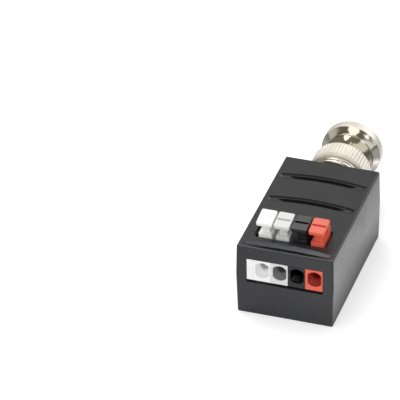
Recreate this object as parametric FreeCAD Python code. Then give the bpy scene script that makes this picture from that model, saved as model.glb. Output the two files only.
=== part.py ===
"""Video balun for twisted-pair camera cable: a two-part box with four push-button wire
terminals at the front and a bayonet plug at the rear.

Millimetres. The origin is the centre of the flat underside. The wire ports face -Y, the
plug points along +Y and the buttons stand on top, +Z.
"""
import FreeCAD, Part
import math
import os

Vector = FreeCAD.Vector
X_AXIS = Vector(1, 0, 0)
Y_AXIS = Vector(0, 1, 0)
Z_AXIS = Vector(0, 0, 1)

# Case. Its width comes from the row of terminals
ROW_MARGIN = 2.55
CASE_LENGTH = 38.0
CASE_HEIGHT = 18.0
COVER_HEIGHT = 7.5
WALL = 1.5
DRAFT_ANGLE = 1.2
EDGE_RADIUS = 0.5
BASE_EDGE_BEVEL = 0.3
LAP_HEIGHT = 0.9
LAP_GAP = 0.08
PARTING_GAP = 0.02

# Grip grooves across the top, each an arc that bulges towards the plug
GROOVE_RADIUS = 44.8
GROOVE_WIDTH = 2.4
GROOVE_SIDE_MARGIN = 1.1
GROOVE_REAR_DEPTH = 0.14
GROOVE_FRONT_DEPTH = 0.5
GROOVE_REAR_SETBACK = 6.1
GROOVE_PITCH = 9.55
GROOVE_POSITIONS = (0, 1, 3)
CRESCENT_INSET = 2.8
CRESCENT_WIDTH = 0.85
CRESCENT_DEPTH = 0.95

# Row of wire terminals
MODULE_COUNT = 4
MODULE_NAMES = ("white", "grey", "black", "red")
MODULE_PITCH = 4.06
MODULE_GAP = 0.02
MODULE_HEIGHT = 5.45
MODULE_LENGTH = 14.3
MODULE_FLOOR = 0.85
MODULE_ROOF = 0.8
MODULE_SIDE = 0.43
MODULE_REAR = 0.5
NOSE_RECESS = 0.12
END_PLATE_WIDTH = 1.46
END_PLATE_THIN = 0.5
NOSE_LENGTH = 2.2
MODULE_ROOF_GAP = 1.73
FRONT_WINDOW_GAP = 0.06
FRONT_WINDOW_DROP = 0.45

# Wire port in each terminal
PORT_OFFSET = 0.12
PORT_RISE = 2.98
PORT_RADIUS = 1.92
PORT_FLAT_WIDTH = 3.14
PORT_STRAIGHT = 0.5
PORT_FUNNEL = 1.3
THROAT_RADIUS = 0.95
THROAT_LENGTH = 2.7

# Contact bar and clamp spring in each terminal
BAR_THICKNESS = 0.45
BAR_WIDTH = 2.0
BAR_FRONT_SETBACK = 1.2
BAR_SEAT_GAP = 0.05
PIN_WIDTH = 0.8
PIN_TIP_BELOW_BOARD = 1.2
SPRING_THICKNESS = 0.25
SPRING_WIDTH = 1.7
SPRING_BEND_RADIUS = 0.45
SPRING_BEND_FLATS = 5
SPRING_SETBACK = 1.35
SPRING_FOOT_GAP = 0.85
SPRING_RISE_LENGTH = 4.0
SPRING_EAR_LENGTH = 1.2
SPRING_EAR_PLACE = 0.35

# Push buttons
BUTTON_OFFSET = -0.66
BUTTON_TRAVEL = 1.5
BUTTON_GAP = 0.1
FOOT_WIDTH = 3.05
FOOT_LENGTH = 5.45
FOOT_PROUD = 0.9
NECK_WIDTH = 1.85
NECK_SETBACK = 0.8
PAD_WIDTH = 3.7
PAD_LENGTH = 5.05
PAD_THICKNESS = 0.88
PAD_OVERHANG = 1.0
PAD_FRONT_PROUD = 4.3
PAD_TILT = 7.0
PAD_CORNER_BEVEL = 0.32
PAD_EDGE_BEVEL = 0.13
PAD_SLOT_WIDTH = 0.34
PAD_SLOT_DEPTH = 0.26
PAD_SLOT_MARGIN = 0.42
WEB_LENGTH = 1.5
WEB_PROUD = 2.4
LEG_WIDTH = 0.9
LEG_SIDE_GAP = 0.06
LEG_LENGTH = 3.5
HEEL_LENGTH = 0.25
HEEL_HEIGHT = 1.0

# Window for the buttons in the roof
WINDOW_FRONT_GAP = 0.2
WINDOW_REAR_GAP = 1.1
WINDOW_LEFT_GAP = 1.2
WINDOW_RIGHT_GAP = 0.4
WINDOW_CORNER_RADIUS = 0.8

# Circuit board
BOARD_THICKNESS = 1.6
BOARD_SIDE_GAP = 0.35
BOARD_LENGTH_GAP = 0.4
BOARD_REAR_SETBACK = 0.9
BOARD_NOTCH_MARGIN = 1.4
BOARD_HOLE_GAP = 0.15
BOARD_PIN_HOLE_GAP = 0.12

# Posts of the cover that stand in sockets of the case and clamp the board
POST_PIN_HALF_WIDTH = 0.95
POST_HALF_WIDTH = 1.5
POST_INSERT = 3.0
POST_FIT_GAP = 0.05
POST_SIDE_GAP = 1.9
POST_MODULE_GAP = 1.0
POST_REAR_GAP = 6.1
BOSS_HALF_WIDTH = 1.8
RIB_SPACING = 10.4
RIB_WIDTH = 1.0
RIB_PIN_GAP = 0.92

# Bayonet plug
PLUG_X = 0.2
PLUG_RISE = 2.92
SHANK_RADIUS = 3.175
SHANK_REACH = 4.6
BEARING_RADIUS = 4.0
BEARING_GAP = 0.06
COLLAR_RADIUS = 6.3
COLLAR_LENGTH = 1.98
COLLAR_SEAT_GAP = 0.02
NUT_GAP = 0.2
NUT_LENGTH = 14.1
NUT_TRAVEL = 0.6
KNURL_RADIUS = 7.1
KNURL_LENGTH = 5.0
KNURL_COUNT = 54
KNURL_DEPTH = 0.26
KNURL_BEVEL = 0.45
NECK_WALL = 0.55
FLARE_LENGTH = 1.2
RIM_RADIUS = 7.15
RIM_LENGTH = 2.4
LIP_LENGTH = 2.8
SOCKET_RADIUS = 4.95
WASHER_THICKNESS = 0.4
WASHER_GAP = 0.05
SPRING_WASHER_THICKNESS = 0.25
SPRING_WASHER_FLATS = 4
SHOULDER_GAP = 0.3
SHOULDER_LENGTH = 1.2
GASKET_THICKNESS = 0.6
GASKET_EDGE_SETBACK = 0.06
PART_GAP = 0.04
CONTACT_RADIUS = 4.03
CONTACT_BORE_RADIUS = 3.35
CONTACT_LENGTH = 4.75
CONTACT_SLOT_WIDTH = 0.5
CONTACT_SLOT_COUNT = 4
GASKET_SEAT_DEPTH = 0.25
REAR_BORE_RADIUS = 1.95
INSULATOR_PROUD = 0.5
INSULATOR_REAR_PROUD = 0.3
PIN_RADIUS = 0.675
PIN_TIP_SETBACK = 0.5
PIN_TIP_BEVEL = 0.17
PIN_TAIL_PROUD = 1.6
LUG_SLOT_WIDTH = 2.2
LUG_SLOT_PROUD = 0.2
RAMP_END_SETBACK = 0.65
RAMP_ANGLE = 90.0
RAMP_RISE = 1.6
RAMP_END_ANGLE = 35.0
LUG_COUNT = 2

# Lock nut, ground tag and signal lead behind the rear wall
SEAT_THICKNESS = 0.25
SEAT_RADIUS = 4.6
LOCK_NUT_FLATS = 8.0
LOCK_NUT_THICKNESS = 2.0
HEXAGON = 6
TAG_THICKNESS = 0.4
TAG_HALF_WIDTH = 4.1
TAG_ARM_WIDTH = 1.4
TAG_REACH = 6.1
TAG_FOOT_LENGTH = 2.3
LEAD_WIDTH = 0.56
LEAD_SETBACK = 1.2
LEAD_TAIL = 0.7

# Parts on the board
CORE_RADIUS = 4.6
CORE_BORE_RADIUS = 2.5
CORE_HEIGHT = 3.6
CORE_X = -0.5
TURN_WIRE = 0.4
TURN_COUNT = 10
SUPPRESSOR_SIZE = (2.6, 4.3, 2.2)
SUPPRESSOR_SIDE_GAP = 2.45
SUPPRESSOR_CHAMFER = 0.3
CAPACITOR_SIZE = (3.2, 2.5, 1.6)
CAPACITOR_PLACE = 1
RESISTOR_SIZE = (3.2, 1.6, 0.55)
RESISTOR_PLACES = (0, 2)
CHIP_PLACES = 3
CHIP_SIDE_GAP = 2.15
CHIP_END_LENGTH = 0.5
CHIP_END_LIP = 0.04

# Worked out from the sizes above
ROW_WIDTH = END_PLATE_WIDTH + MODULE_COUNT * MODULE_PITCH
CASE_WIDTH = ROW_WIDTH + 2 * ROW_MARGIN
PARTING_HEIGHT = CASE_HEIGHT - COVER_HEIGHT
FRONT_Y = -CASE_LENGTH / 2
REAR_Y = CASE_LENGTH / 2
ROOF_Z = CASE_HEIGHT - WALL
ROW_LEFT = -ROW_WIDTH / 2
FIRST_MODULE_LEFT = ROW_LEFT + END_PLATE_WIDTH
MODULE_FRONT = FRONT_Y + NOSE_RECESS
MODULE_BACK = MODULE_FRONT + MODULE_LENGTH
MODULE_TOP = ROOF_Z - MODULE_ROOF_GAP
MODULE_BOTTOM = MODULE_TOP - MODULE_HEIGHT
PORT_HEIGHT = MODULE_BOTTOM + PORT_RISE
BOARD_TOP = MODULE_BOTTOM - PART_GAP
BOARD_BOTTOM = BOARD_TOP - BOARD_THICKNESS
BOARD_HALF_WIDTH = CASE_WIDTH / 2 - WALL - BOARD_SIDE_GAP
CHAMBER_FRONT = MODULE_FRONT + PORT_STRAIGHT + PORT_FUNNEL + THROAT_LENGTH
CHAMBER_BACK = MODULE_BACK - MODULE_REAR
CHAMBER_FLOOR = MODULE_BOTTOM + MODULE_FLOOR
CHAMBER_TOP = MODULE_TOP - MODULE_ROOF
BAR_BACK = CHAMBER_BACK - BAR_SEAT_GAP
BAR_FACE = BAR_BACK - BAR_THICKNESS
FOOT_FRONT = CHAMBER_FRONT + HEEL_LENGTH + BUTTON_GAP
FOOT_BACK = FOOT_FRONT + FOOT_LENGTH
FOOT_BOTTOM = MODULE_TOP + BUTTON_TRAVEL + BUTTON_GAP
FOOT_TOP = CASE_HEIGHT + FOOT_PROUD
PLUG_Z = BOARD_TOP + PLUG_RISE
WALL_INSIDE_Y = REAR_Y - WALL
SEAT_Y = WALL_INSIDE_Y - SEAT_THICKNESS
SHANK_END = REAR_Y - SHANK_REACH
POST_X = BOARD_HALF_WIDTH - POST_SIDE_GAP + BOARD_SIDE_GAP
POST_Y = (MODULE_BACK + POST_HALF_WIDTH + POST_MODULE_GAP, WALL_INSIDE_Y - POST_REAR_GAP)
COLLAR_START = REAR_Y + COLLAR_SEAT_GAP
COLLAR_END = COLLAR_START + COLLAR_LENGTH
NUT_START = COLLAR_END + NUT_GAP
NUT_END = NUT_START + NUT_LENGTH
LIP_END = NUT_START + LIP_LENGTH
WASHER_START = LIP_END + WASHER_GAP
WASHER_END = WASHER_START + WASHER_THICKNESS
SHOULDER_START = WASHER_END + SPRING_WASHER_THICKNESS + NUT_TRAVEL + WASHER_GAP
SHOULDER_END = SHOULDER_START + SHOULDER_LENGTH
GASKET_END = SHOULDER_END + GASKET_THICKNESS
CONTACT_START = GASKET_END + PART_GAP
CONTACT_END = CONTACT_START + CONTACT_LENGTH
SHOULDER_RADIUS = SOCKET_RADIUS - SHOULDER_GAP
NECK_RADIUS = SOCKET_RADIUS + NECK_WALL
GASKET_SEAT_RADIUS = CONTACT_RADIUS - GASKET_SEAT_DEPTH
FLARE_START = NUT_END - RIM_LENGTH - FLARE_LENGTH
LUG_SLOT_RADIUS = NECK_RADIUS + LUG_SLOT_PROUD
RAMP_END = FLARE_START + RAMP_END_SETBACK
CORE_Y = (MODULE_BACK + SHANK_END) / 2 - CORE_RADIUS / 4


def box(x0, x1, y0, y1, z0, z1):
    """A block between two corners."""
    return Part.makeBox(x1 - x0, y1 - y0, z1 - z0, Vector(x0, y0, z0))


def cylinder_z(radius, x, y, z0, z1):
    """An upright cylinder."""
    return Part.makeCylinder(radius, z1 - z0, Vector(x, y, z0))


def rounded_rectangle(width, length, radius, z, x=0.0, y=0.0):
    """A closed wire: a rectangle with round corners, centred on x, y at height z."""
    a = width / 2 - radius
    b = length / 2 - radius
    s = radius * math.sqrt(0.5)
    edges = []
    for turn in range(4):
        along, across = (a, b) if turn % 2 == 0 else (b, a)
        corner = Vector(along, across, 0)
        start = corner + Vector(radius, 0, 0)
        middle = corner + Vector(s, s, 0)
        end = corner + Vector(0, radius, 0)
        reach = Vector(-along, across + radius, 0)
        side = Part.LineSegment(end, reach).toShape()
        arc = Part.Arc(start, middle, end).toShape()
        for edge in (arc, side):
            edge.rotate(Vector(0, 0, 0), Z_AXIS, 90 * turn)
            edge.translate(Vector(x, y, z))
            edges.append(edge)
    return Part.Wire(edges)


def prism(wire, direction):
    """A solid: the flat area inside a closed wire, carried along a direction."""
    return Part.Face(wire).extrude(direction)


def polygon_x(points, x0, x1):
    """A side profile of (y, z) points carried across from x0 to x1."""
    wire = Part.makePolygon([Vector(x0, y, z) for y, z in points + points[:1]])
    return prism(wire, Vector(x1 - x0, 0, 0))


def turned(points):
    """A solid turned about the plug's axis from (y, radius) points."""
    outline = [Vector(PLUG_X + r, y, PLUG_Z) for y, r in points]
    wire = Part.makePolygon(outline + outline[:1])
    return Part.Face(wire).revolve(Vector(PLUG_X, 0, PLUG_Z), Y_AXIS, 360)


def turned_sector(points, start_angle, angle):
    """Part of a turned solid. Angles run from straight up towards +X."""
    outline = [Vector(PLUG_X, y, PLUG_Z + r) for y, r in points]
    wire = Part.makePolygon(outline + outline[:1])
    solid = Part.Face(wire).revolve(Vector(PLUG_X, 0, PLUG_Z), Y_AXIS, angle)
    solid.rotate(Vector(PLUG_X, 0, PLUG_Z), Y_AXIS, start_angle)
    return solid


def tube(y0, y1, outer, inner):
    """A ring about the plug's axis."""
    return turned([(y0, inner), (y1, inner), (y1, outer), (y0, outer)])


def draft(height):
    """How far a drafted wall leans in over a height."""
    return height * math.tan(math.radians(DRAFT_ANGLE))


def drafted_block(inset, z0, z1):
    """The case's own form between two heights, a given distance inside its outer face."""
    low = draft(abs(z0 - PARTING_HEIGHT)) + inset
    high = draft(abs(z1 - PARTING_HEIGHT)) + inset
    half_width = CASE_WIDTH / 2
    half_length = CASE_LENGTH / 2
    low_x, low_y = half_width - low, half_length - low
    high_x, high_y = half_width - high, half_length - high
    block = Part.makeWedge(-low_x, z0, -low_y, -high_y, -high_x, low_x, z1, low_y, high_y, high_x)
    block.rotate(Vector(0, 0, 0), X_AXIS, 90)
    return block


def upright_edges(shape):
    """The edges that run from the bottom of a shape to its top."""
    return [e for e in shape.Edges if e.BoundBox.ZLength > shape.BoundBox.ZLength / 2]


def edges_at(shape, height):
    """The edges that lie flat at one height."""
    return [e for e in shape.Edges if e.BoundBox.ZMin > height - 1e-4 and e.BoundBox.ZMax < height + 1e-4]


def module_centre(index):
    """The middle of a terminal, across the row."""
    return FIRST_MODULE_LEFT + (index + 0.5) * MODULE_PITCH


def port_x(index):
    """The middle of a wire port."""
    return module_centre(index) + PORT_OFFSET


def button_x(index):
    """The middle of a button."""
    return module_centre(index) + BUTTON_OFFSET


def groove(index):
    """One grip groove: a shallow arc with a sloping floor, and a deep crescent at its front."""
    rear = REAR_Y - GROOVE_REAR_SETBACK - index * GROOVE_PITCH
    half_chord = CASE_WIDTH / 2 - GROOVE_SIDE_MARGIN
    centre = Vector(0, rear - GROOVE_RADIUS, 0)
    front_radius = GROOVE_RADIUS - GROOVE_WIDTH
    section = [
        (GROOVE_RADIUS, CASE_HEIGHT + WALL),
        (GROOVE_RADIUS, CASE_HEIGHT - GROOVE_REAR_DEPTH),
        (front_radius, CASE_HEIGHT - GROOVE_FRONT_DEPTH),
        (front_radius, CASE_HEIGHT + WALL),
    ]
    points = [centre + Vector(0, r, z) for r, z in section]
    half_angle = math.degrees(math.asin(half_chord / GROOVE_RADIUS))
    arc = Part.Face(Part.makePolygon(points + points[:1]))
    arc.rotate(centre, Z_AXIS, -half_angle)
    shallow = arc.revolve(centre, Z_AXIS, 2 * half_angle)
    return shallow.fuse(crescent(centre, front_radius, half_chord - CRESCENT_INSET))


def crescent(centre, front_radius, half_chord):
    """The deep part of a groove, between two arcs that meet at its ends."""
    drop = math.sqrt(front_radius ** 2 - half_chord ** 2)
    floor = CASE_HEIGHT - CRESCENT_DEPTH
    left = centre + Vector(-half_chord, drop, floor)
    right = centre + Vector(half_chord, drop, floor)
    near = centre + Vector(0, front_radius, floor)
    far = centre + Vector(0, front_radius + CRESCENT_WIDTH, floor)
    wire = Part.Wire([Part.Arc(left, near, right).toShape(), Part.Arc(right, far, left).toShape()])
    return prism(wire, Vector(0, 0, CRESCENT_DEPTH + WALL))


def roof_window():
    """The opening that the buttons stand in."""
    left = button_x(0) - FOOT_WIDTH / 2 - WINDOW_LEFT_GAP
    right = button_x(MODULE_COUNT - 1) + FOOT_WIDTH / 2 + WINDOW_RIGHT_GAP
    front = FOOT_FRONT - WINDOW_FRONT_GAP
    back = FOOT_BACK + WINDOW_REAR_GAP
    middle_x = (left + right) / 2
    middle_y = (front + back) / 2
    wire = rounded_rectangle(right - left, back - front, WINDOW_CORNER_RADIUS, ROOF_Z - WALL,
                             middle_x, middle_y)
    return prism(wire, Vector(0, 0, 3 * WALL))


def front_window():
    """The opening that the terminals look out of, cut from both shells."""
    left = ROW_LEFT - FRONT_WINDOW_GAP
    right = ROW_LEFT + ROW_WIDTH + FRONT_WINDOW_GAP
    bottom = MODULE_BOTTOM - FRONT_WINDOW_DROP
    top = MODULE_TOP + FRONT_WINDOW_GAP
    return box(left, right, FRONT_Y - WALL, FRONT_Y + 2 * WALL, bottom, top)


def shank_hole():
    """The hole for the shank in the rear wall."""
    radius = SHANK_RADIUS + POST_FIT_GAP
    start = Vector(PLUG_X, WALL_INSIDE_Y - WALL, PLUG_Z)
    return Part.makeCylinder(radius, 3 * WALL, start, Y_AXIS)


def shank_slot():
    """The way from the shank hole down to the cover's lower edge."""
    radius = SHANK_RADIUS + POST_FIT_GAP
    lowest = PARTING_HEIGHT - WALL
    return box(PLUG_X - radius, PLUG_X + radius, WALL_INSIDE_Y - WALL, REAR_Y + WALL, lowest, PLUG_Z)


def shank_seat(z0, z1):
    """The flat pad inside the rear wall that the ground tag and lock nut bear on."""
    return box(PLUG_X - SEAT_RADIUS, PLUG_X + SEAT_RADIUS, SEAT_Y, WALL_INSIDE_Y + WALL / 4,
               max(z0, PLUG_Z - SEAT_RADIUS), min(z1, PLUG_Z + SEAT_RADIUS))


def post_places():
    """Where the cover's four posts stand."""
    return [(side * POST_X, y) for y in POST_Y for side in (-1, 1)]


def pin_places():
    """Where the cover's pins stand: under its rear pair of posts."""
    return [(side * POST_X, POST_Y[-1]) for side in (-1, 1)]


def square_post(half, x, y, z0, z1):
    """An upright post with a square section."""
    return box(x - half, x + half, y - half, y + half, z0, z1)


def top_cover():
    """The upper shell: drafted walls, round top edges, grip grooves, windows and four posts."""
    start = PARTING_HEIGHT + PARTING_GAP
    shell = drafted_block(0.0, start, CASE_HEIGHT)
    shell = shell.makeFillet(EDGE_RADIUS, edges_at(shell, CASE_HEIGHT) + upright_edges(shell))
    shell = shell.cut(drafted_block(WALL, start - WALL, ROOF_Z))
    rebate_top = PARTING_HEIGHT + LAP_HEIGHT + LAP_GAP
    shell = shell.cut(drafted_block(WALL / 2 - LAP_GAP, start - WALL, rebate_top))
    shell = shell.fuse(shank_seat(rebate_top, ROOF_Z + WALL / 2))
    for x, y in post_places():
        shell = shell.fuse(square_post(POST_HALF_WIDTH, x, y, BOARD_TOP + PART_GAP, ROOF_Z + WALL / 2))
    pin_end = BOARD_BOTTOM - POST_INSERT
    for x, y in pin_places():
        shell = shell.fuse(square_post(POST_PIN_HALF_WIDTH, x, y, pin_end, BOARD_TOP + WALL))
    cuts = [groove(i) for i in GROOVE_POSITIONS]
    cuts += [roof_window(), front_window(), shank_hole(), shank_slot()]
    return shell.cut(cuts).removeSplitter()


def bottom_case():
    """The lower shell: drafted walls, lap tongue, sockets for the posts and ribs for the board."""
    shell = drafted_block(0.0, 0.0, PARTING_HEIGHT)
    shell = shell.makeFillet(EDGE_RADIUS, upright_edges(shell))
    shell = shell.makeChamfer(BASE_EDGE_BEVEL, edges_at(shell, 0.0))
    tongue = drafted_block(WALL / 2, PARTING_HEIGHT - LAP_HEIGHT, PARTING_HEIGHT + LAP_HEIGHT)
    shell = shell.fuse(tongue)
    shell = shell.cut(drafted_block(WALL, WALL, PARTING_HEIGHT + 2 * LAP_HEIGHT))
    shell = shell.fuse(shank_seat(BOARD_TOP, PARTING_HEIGHT + LAP_HEIGHT))
    for x, y in post_places():
        shell = shell.fuse(square_post(BOSS_HALF_WIDTH, x, y, WALL / 2, BOARD_BOTTOM - PART_GAP))
    rib_front = FRONT_Y + 2 * WALL
    for side in (-1, 1):
        x = side * RIB_SPACING / 2
        rib = box(x - RIB_WIDTH / 2, x + RIB_WIDTH / 2, rib_front, BAR_FACE - RIB_PIN_GAP,
                  WALL / 2, BOARD_BOTTOM - PART_GAP)
        shell = shell.fuse(rib)
    sockets = []
    for x, y in pin_places():
        floor = BOARD_BOTTOM - POST_INSERT - BOARD_HOLE_GAP
        sockets.append(square_post(POST_PIN_HALF_WIDTH + POST_FIT_GAP, x, y, floor, BOARD_TOP))
    return shell.cut(sockets + [front_window(), shank_hole()]).removeSplitter()


def circuit_board():
    """The board, notched for the lock nut and the cover's pins, slotted for the bars and lead."""
    half_width = BOARD_HALF_WIDTH
    front = FRONT_Y + WALL + BOARD_LENGTH_GAP
    rear = WALL_INSIDE_Y - BOARD_REAR_SETBACK
    below = BOARD_BOTTOM - WALL
    above = BOARD_TOP + WALL
    board = box(-half_width, half_width, front, rear, BOARD_BOTTOM, BOARD_TOP)
    notch = LOCK_NUT_FLATS / 2 + BOARD_NOTCH_MARGIN
    notch_front = SHANK_END - BOARD_NOTCH_MARGIN / 2
    cuts = [box(PLUG_X - notch, PLUG_X + notch, notch_front, rear + WALL, below, above)]
    for x, y in pin_places():
        half = POST_PIN_HALF_WIDTH + BOARD_HOLE_GAP
        inner = POST_X - half
        side = math.copysign(1, x)
        edges = sorted([side * inner, side * CASE_WIDTH])
        cuts.append(box(edges[0], edges[1], y - half, y + half, below, above))
    half_pin = PIN_WIDTH / 2 + BOARD_PIN_HOLE_GAP
    half_bar = BAR_THICKNESS / 2 + BOARD_PIN_HOLE_GAP
    pin_y = (BAR_FACE + BAR_BACK) / 2
    for i in range(MODULE_COUNT):
        x = port_x(i)
        cuts.append(box(x - half_pin, x + half_pin, pin_y - half_bar, pin_y + half_bar, below, above))
    lead_x, lead_y = lead_foot()
    half_lead = LEAD_WIDTH / 2 + BOARD_PIN_HOLE_GAP
    cuts.append(box(lead_x - half_lead, lead_x + half_lead, lead_y - half_lead, lead_y + half_lead,
                    below, above))
    return board.cut(cuts)


def wire_port(x):
    """The hole for a wire: a round mouth with flat sides, a funnel and a straight throat."""
    middle = Vector(x, MODULE_FRONT, PORT_HEIGHT)
    mouth = Part.makeCylinder(PORT_RADIUS, PORT_STRAIGHT + WALL, middle - Vector(0, WALL, 0), Y_AXIS)
    cone_start = middle + Vector(0, PORT_STRAIGHT, 0)
    cone = Part.makeCone(PORT_RADIUS, THROAT_RADIUS, PORT_FUNNEL, cone_start, Y_AXIS)
    half = PORT_FLAT_WIDTH / 2
    sides = box(x - half, x + half, MODULE_FRONT - WALL, MODULE_BACK, MODULE_BOTTOM, MODULE_TOP)
    throat = Part.makeCylinder(THROAT_RADIUS, PORT_FUNNEL + THROAT_LENGTH + WALL, cone_start, Y_AXIS)
    return mouth.fuse(cone).common(sides).fuse(throat)


def terminal_housing(index):
    """One terminal: open at its left, where the next one's wall closes it."""
    left = module_centre(index) - MODULE_PITCH / 2 + MODULE_GAP
    right = module_centre(index) + MODULE_PITCH / 2
    body = box(left, right, MODULE_FRONT, MODULE_BACK, MODULE_BOTTOM, MODULE_TOP)
    chamber_right = right - MODULE_SIDE
    chamber = box(left - WALL, chamber_right, CHAMBER_FRONT, CHAMBER_BACK, CHAMBER_FLOOR, CHAMBER_TOP)
    leg_right = left + LEG_SIDE_GAP + LEG_WIDTH + LEG_SIDE_GAP
    slot = box(left - WALL, leg_right, FOOT_FRONT - BUTTON_GAP, FOOT_BACK + BUTTON_GAP,
               CHAMBER_FLOOR + WALL, MODULE_TOP + WALL)
    half_pin = PIN_WIDTH / 2 + BAR_SEAT_GAP
    x = port_x(index)
    pin_front = BAR_FACE - BAR_SEAT_GAP
    pin_slot = box(x - half_pin, x + half_pin, pin_front, CHAMBER_BACK,
                   MODULE_BOTTOM - WALL, CHAMBER_FLOOR + WALL)
    return body.cut([wire_port(x), chamber, slot, pin_slot])


def end_plate():
    """Closes the open side of the first terminal. Its nose fills the front window's left end."""
    right = FIRST_MODULE_LEFT
    nose_left = right - END_PLATE_WIDTH
    nose = box(nose_left, right, MODULE_FRONT, MODULE_FRONT + NOSE_LENGTH, MODULE_BOTTOM, MODULE_TOP)
    plate = box(right - END_PLATE_THIN, right, MODULE_FRONT, MODULE_BACK, MODULE_BOTTOM, MODULE_TOP)
    return nose.fuse(plate).removeSplitter()


def contact_bar(index):
    """A bent strip: along the chamber's roof, down its rear wall and out as a solder pin."""
    x = port_x(index)
    top = CHAMBER_TOP - BAR_SEAT_GAP
    bend = BAR_THICKNESS
    front = CHAMBER_FRONT + BAR_FRONT_SETBACK
    shelf = CHAMBER_FLOOR + BAR_SEAT_GAP
    outline = [
        (front, top - BAR_THICKNESS),
        (BAR_FACE, top - BAR_THICKNESS),
        (BAR_FACE, shelf),
        (BAR_BACK, shelf),
        (BAR_BACK, top - bend),
        (BAR_BACK - bend, top),
        (front, top),
    ]
    strip = polygon_x(outline, x - BAR_WIDTH / 2, x + BAR_WIDTH / 2)
    pin = box(x - PIN_WIDTH / 2, x + PIN_WIDTH / 2, BAR_FACE, BAR_BACK,
              BOARD_BOTTOM - PIN_TIP_BELOW_BOARD, shelf + BAR_THICKNESS)
    return strip.fuse(pin).removeSplitter()


def spring_bend(angle):
    """A direction from the middle of a spring's bend. Angles run from straight down, forwards and up."""
    return Vector(0, -math.sin(angle), -math.cos(angle))


def clamp_spring(index):
    """A leaf bent into a V: a foot on the floor, a bend at the front and a leg that rises to
    the bar. The ear at its left lies under the button's leg."""
    x = port_x(index)
    inner = SPRING_BEND_RADIUS - SPRING_THICKNESS / 2
    outer = SPRING_BEND_RADIUS + SPRING_THICKNESS / 2
    floor = CHAMBER_FLOOR + BAR_SEAT_GAP
    bend_y = CHAMBER_FRONT + SPRING_SETBACK
    centre = Vector(0, bend_y, floor + outer)
    rise = CHAMBER_TOP - BAR_THICKNESS - 2 * BAR_SEAT_GAP - centre.z
    reach = math.hypot(SPRING_RISE_LENGTH, outer)
    slope = math.asin(rise / reach) - math.atan2(outer, SPRING_RISE_LENGTH)
    lean = Vector(0, -math.sin(slope), math.cos(slope))
    along = Vector(0, math.cos(slope), math.sin(slope))
    run = along * SPRING_RISE_LENGTH
    bend = [spring_bend(i * (math.pi + slope) / SPRING_BEND_FLATS) for i in range(SPRING_BEND_FLATS + 1)]
    foot_end = Vector(0, BAR_FACE - SPRING_FOOT_GAP, floor)
    points = [foot_end] + [centre + step * outer for step in bend]
    points += [centre + lean * outer + run, centre + lean * inner + run]
    points += [centre + step * inner for step in reversed(bend)]
    points += [foot_end + Vector(0, 0, SPRING_THICKNESS), foot_end]
    leaf = prism(Part.makePolygon(points), Vector(SPRING_WIDTH, 0, 0))
    leaf.translate(Vector(x - SPRING_WIDTH / 2, 0, 0))
    ear_reach = x - SPRING_WIDTH / 2 - (module_centre(index) - MODULE_PITCH / 2) - 2 * LEG_SIDE_GAP
    ear_start = centre + lean * inner + run * SPRING_EAR_PLACE
    ear_end = ear_start + along * SPRING_EAR_LENGTH
    thick = lean * SPRING_THICKNESS
    ear = Part.makePolygon([ear_start, ear_end, ear_end + thick, ear_start + thick, ear_start])
    tab = prism(ear, Vector(ear_reach + SPRING_WIDTH / 2, 0, 0))
    tab.translate(Vector(x - SPRING_WIDTH / 2 - ear_reach, 0, 0))
    return leaf.fuse(tab).removeSplitter()


def button_pad(x):
    """The tilted pad on top of a button, with a slot across its middle."""
    pad = box(-PAD_WIDTH / 2, PAD_WIDTH / 2, -PAD_LENGTH / 2, PAD_LENGTH / 2, 0, PAD_THICKNESS)
    pad = pad.makeChamfer(PAD_CORNER_BEVEL, upright_edges(pad))
    pad = pad.makeChamfer(PAD_EDGE_BEVEL, edges_at(pad, PAD_THICKNESS))
    half = PAD_WIDTH / 2 - PAD_SLOT_MARGIN
    slot = box(-half, half, -PAD_SLOT_WIDTH / 2, PAD_SLOT_WIDTH / 2,
               PAD_THICKNESS - PAD_SLOT_DEPTH, PAD_THICKNESS + WALL)
    pad = pad.cut(slot)
    front_top = Vector(0, -PAD_LENGTH / 2, PAD_THICKNESS)
    pad.rotate(front_top, X_AXIS, PAD_TILT)
    place = Vector(x, FOOT_FRONT - PAD_OVERHANG, CASE_HEIGHT + PAD_FRONT_PROUD)
    pad.translate(place - front_top)
    return pad


def button(index):
    """A push button: pad, waisted neck, foot in the window and a guide leg beside the wire."""
    x = button_x(index)
    half = FOOT_WIDTH / 2
    pad_rise = PAD_LENGTH * math.sin(math.radians(PAD_TILT))
    under_pad = CASE_HEIGHT + PAD_FRONT_PROUD - PAD_THICKNESS + pad_rise
    web_front = FOOT_BACK - WEB_LENGTH
    profile = [
        (FOOT_FRONT, FOOT_BOTTOM),
        (FOOT_BACK, FOOT_BOTTOM),
        (FOOT_BACK, CASE_HEIGHT + WEB_PROUD),
        (web_front, under_pad),
        (web_front - PAD_THICKNESS / 2, under_pad - PAD_THICKNESS / 2),
        (web_front - PAD_THICKNESS / 2, FOOT_TOP),
        (FOOT_FRONT, FOOT_TOP),
    ]
    foot = polygon_x(profile, x - half, x + half)
    neck = box(x - NECK_WIDTH / 2, x + NECK_WIDTH / 2, FOOT_FRONT + NECK_SETBACK, web_front,
               FOOT_TOP - PAD_THICKNESS, CASE_HEIGHT + PAD_FRONT_PROUD)
    leg_left = module_centre(index) - MODULE_PITCH / 2 + MODULE_GAP + LEG_SIDE_GAP
    leg_bottom = FOOT_BOTTOM - LEG_LENGTH
    leg = box(leg_left, leg_left + LEG_WIDTH, FOOT_FRONT, FOOT_BACK, leg_bottom, FOOT_BOTTOM)
    heel = box(leg_left, leg_left + LEG_WIDTH, FOOT_FRONT - HEEL_LENGTH, FOOT_FRONT + HEEL_LENGTH,
               leg_bottom, leg_bottom + HEEL_HEIGHT)
    return foot.fuse([neck, button_pad(x), leg, heel]).removeSplitter()


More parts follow.
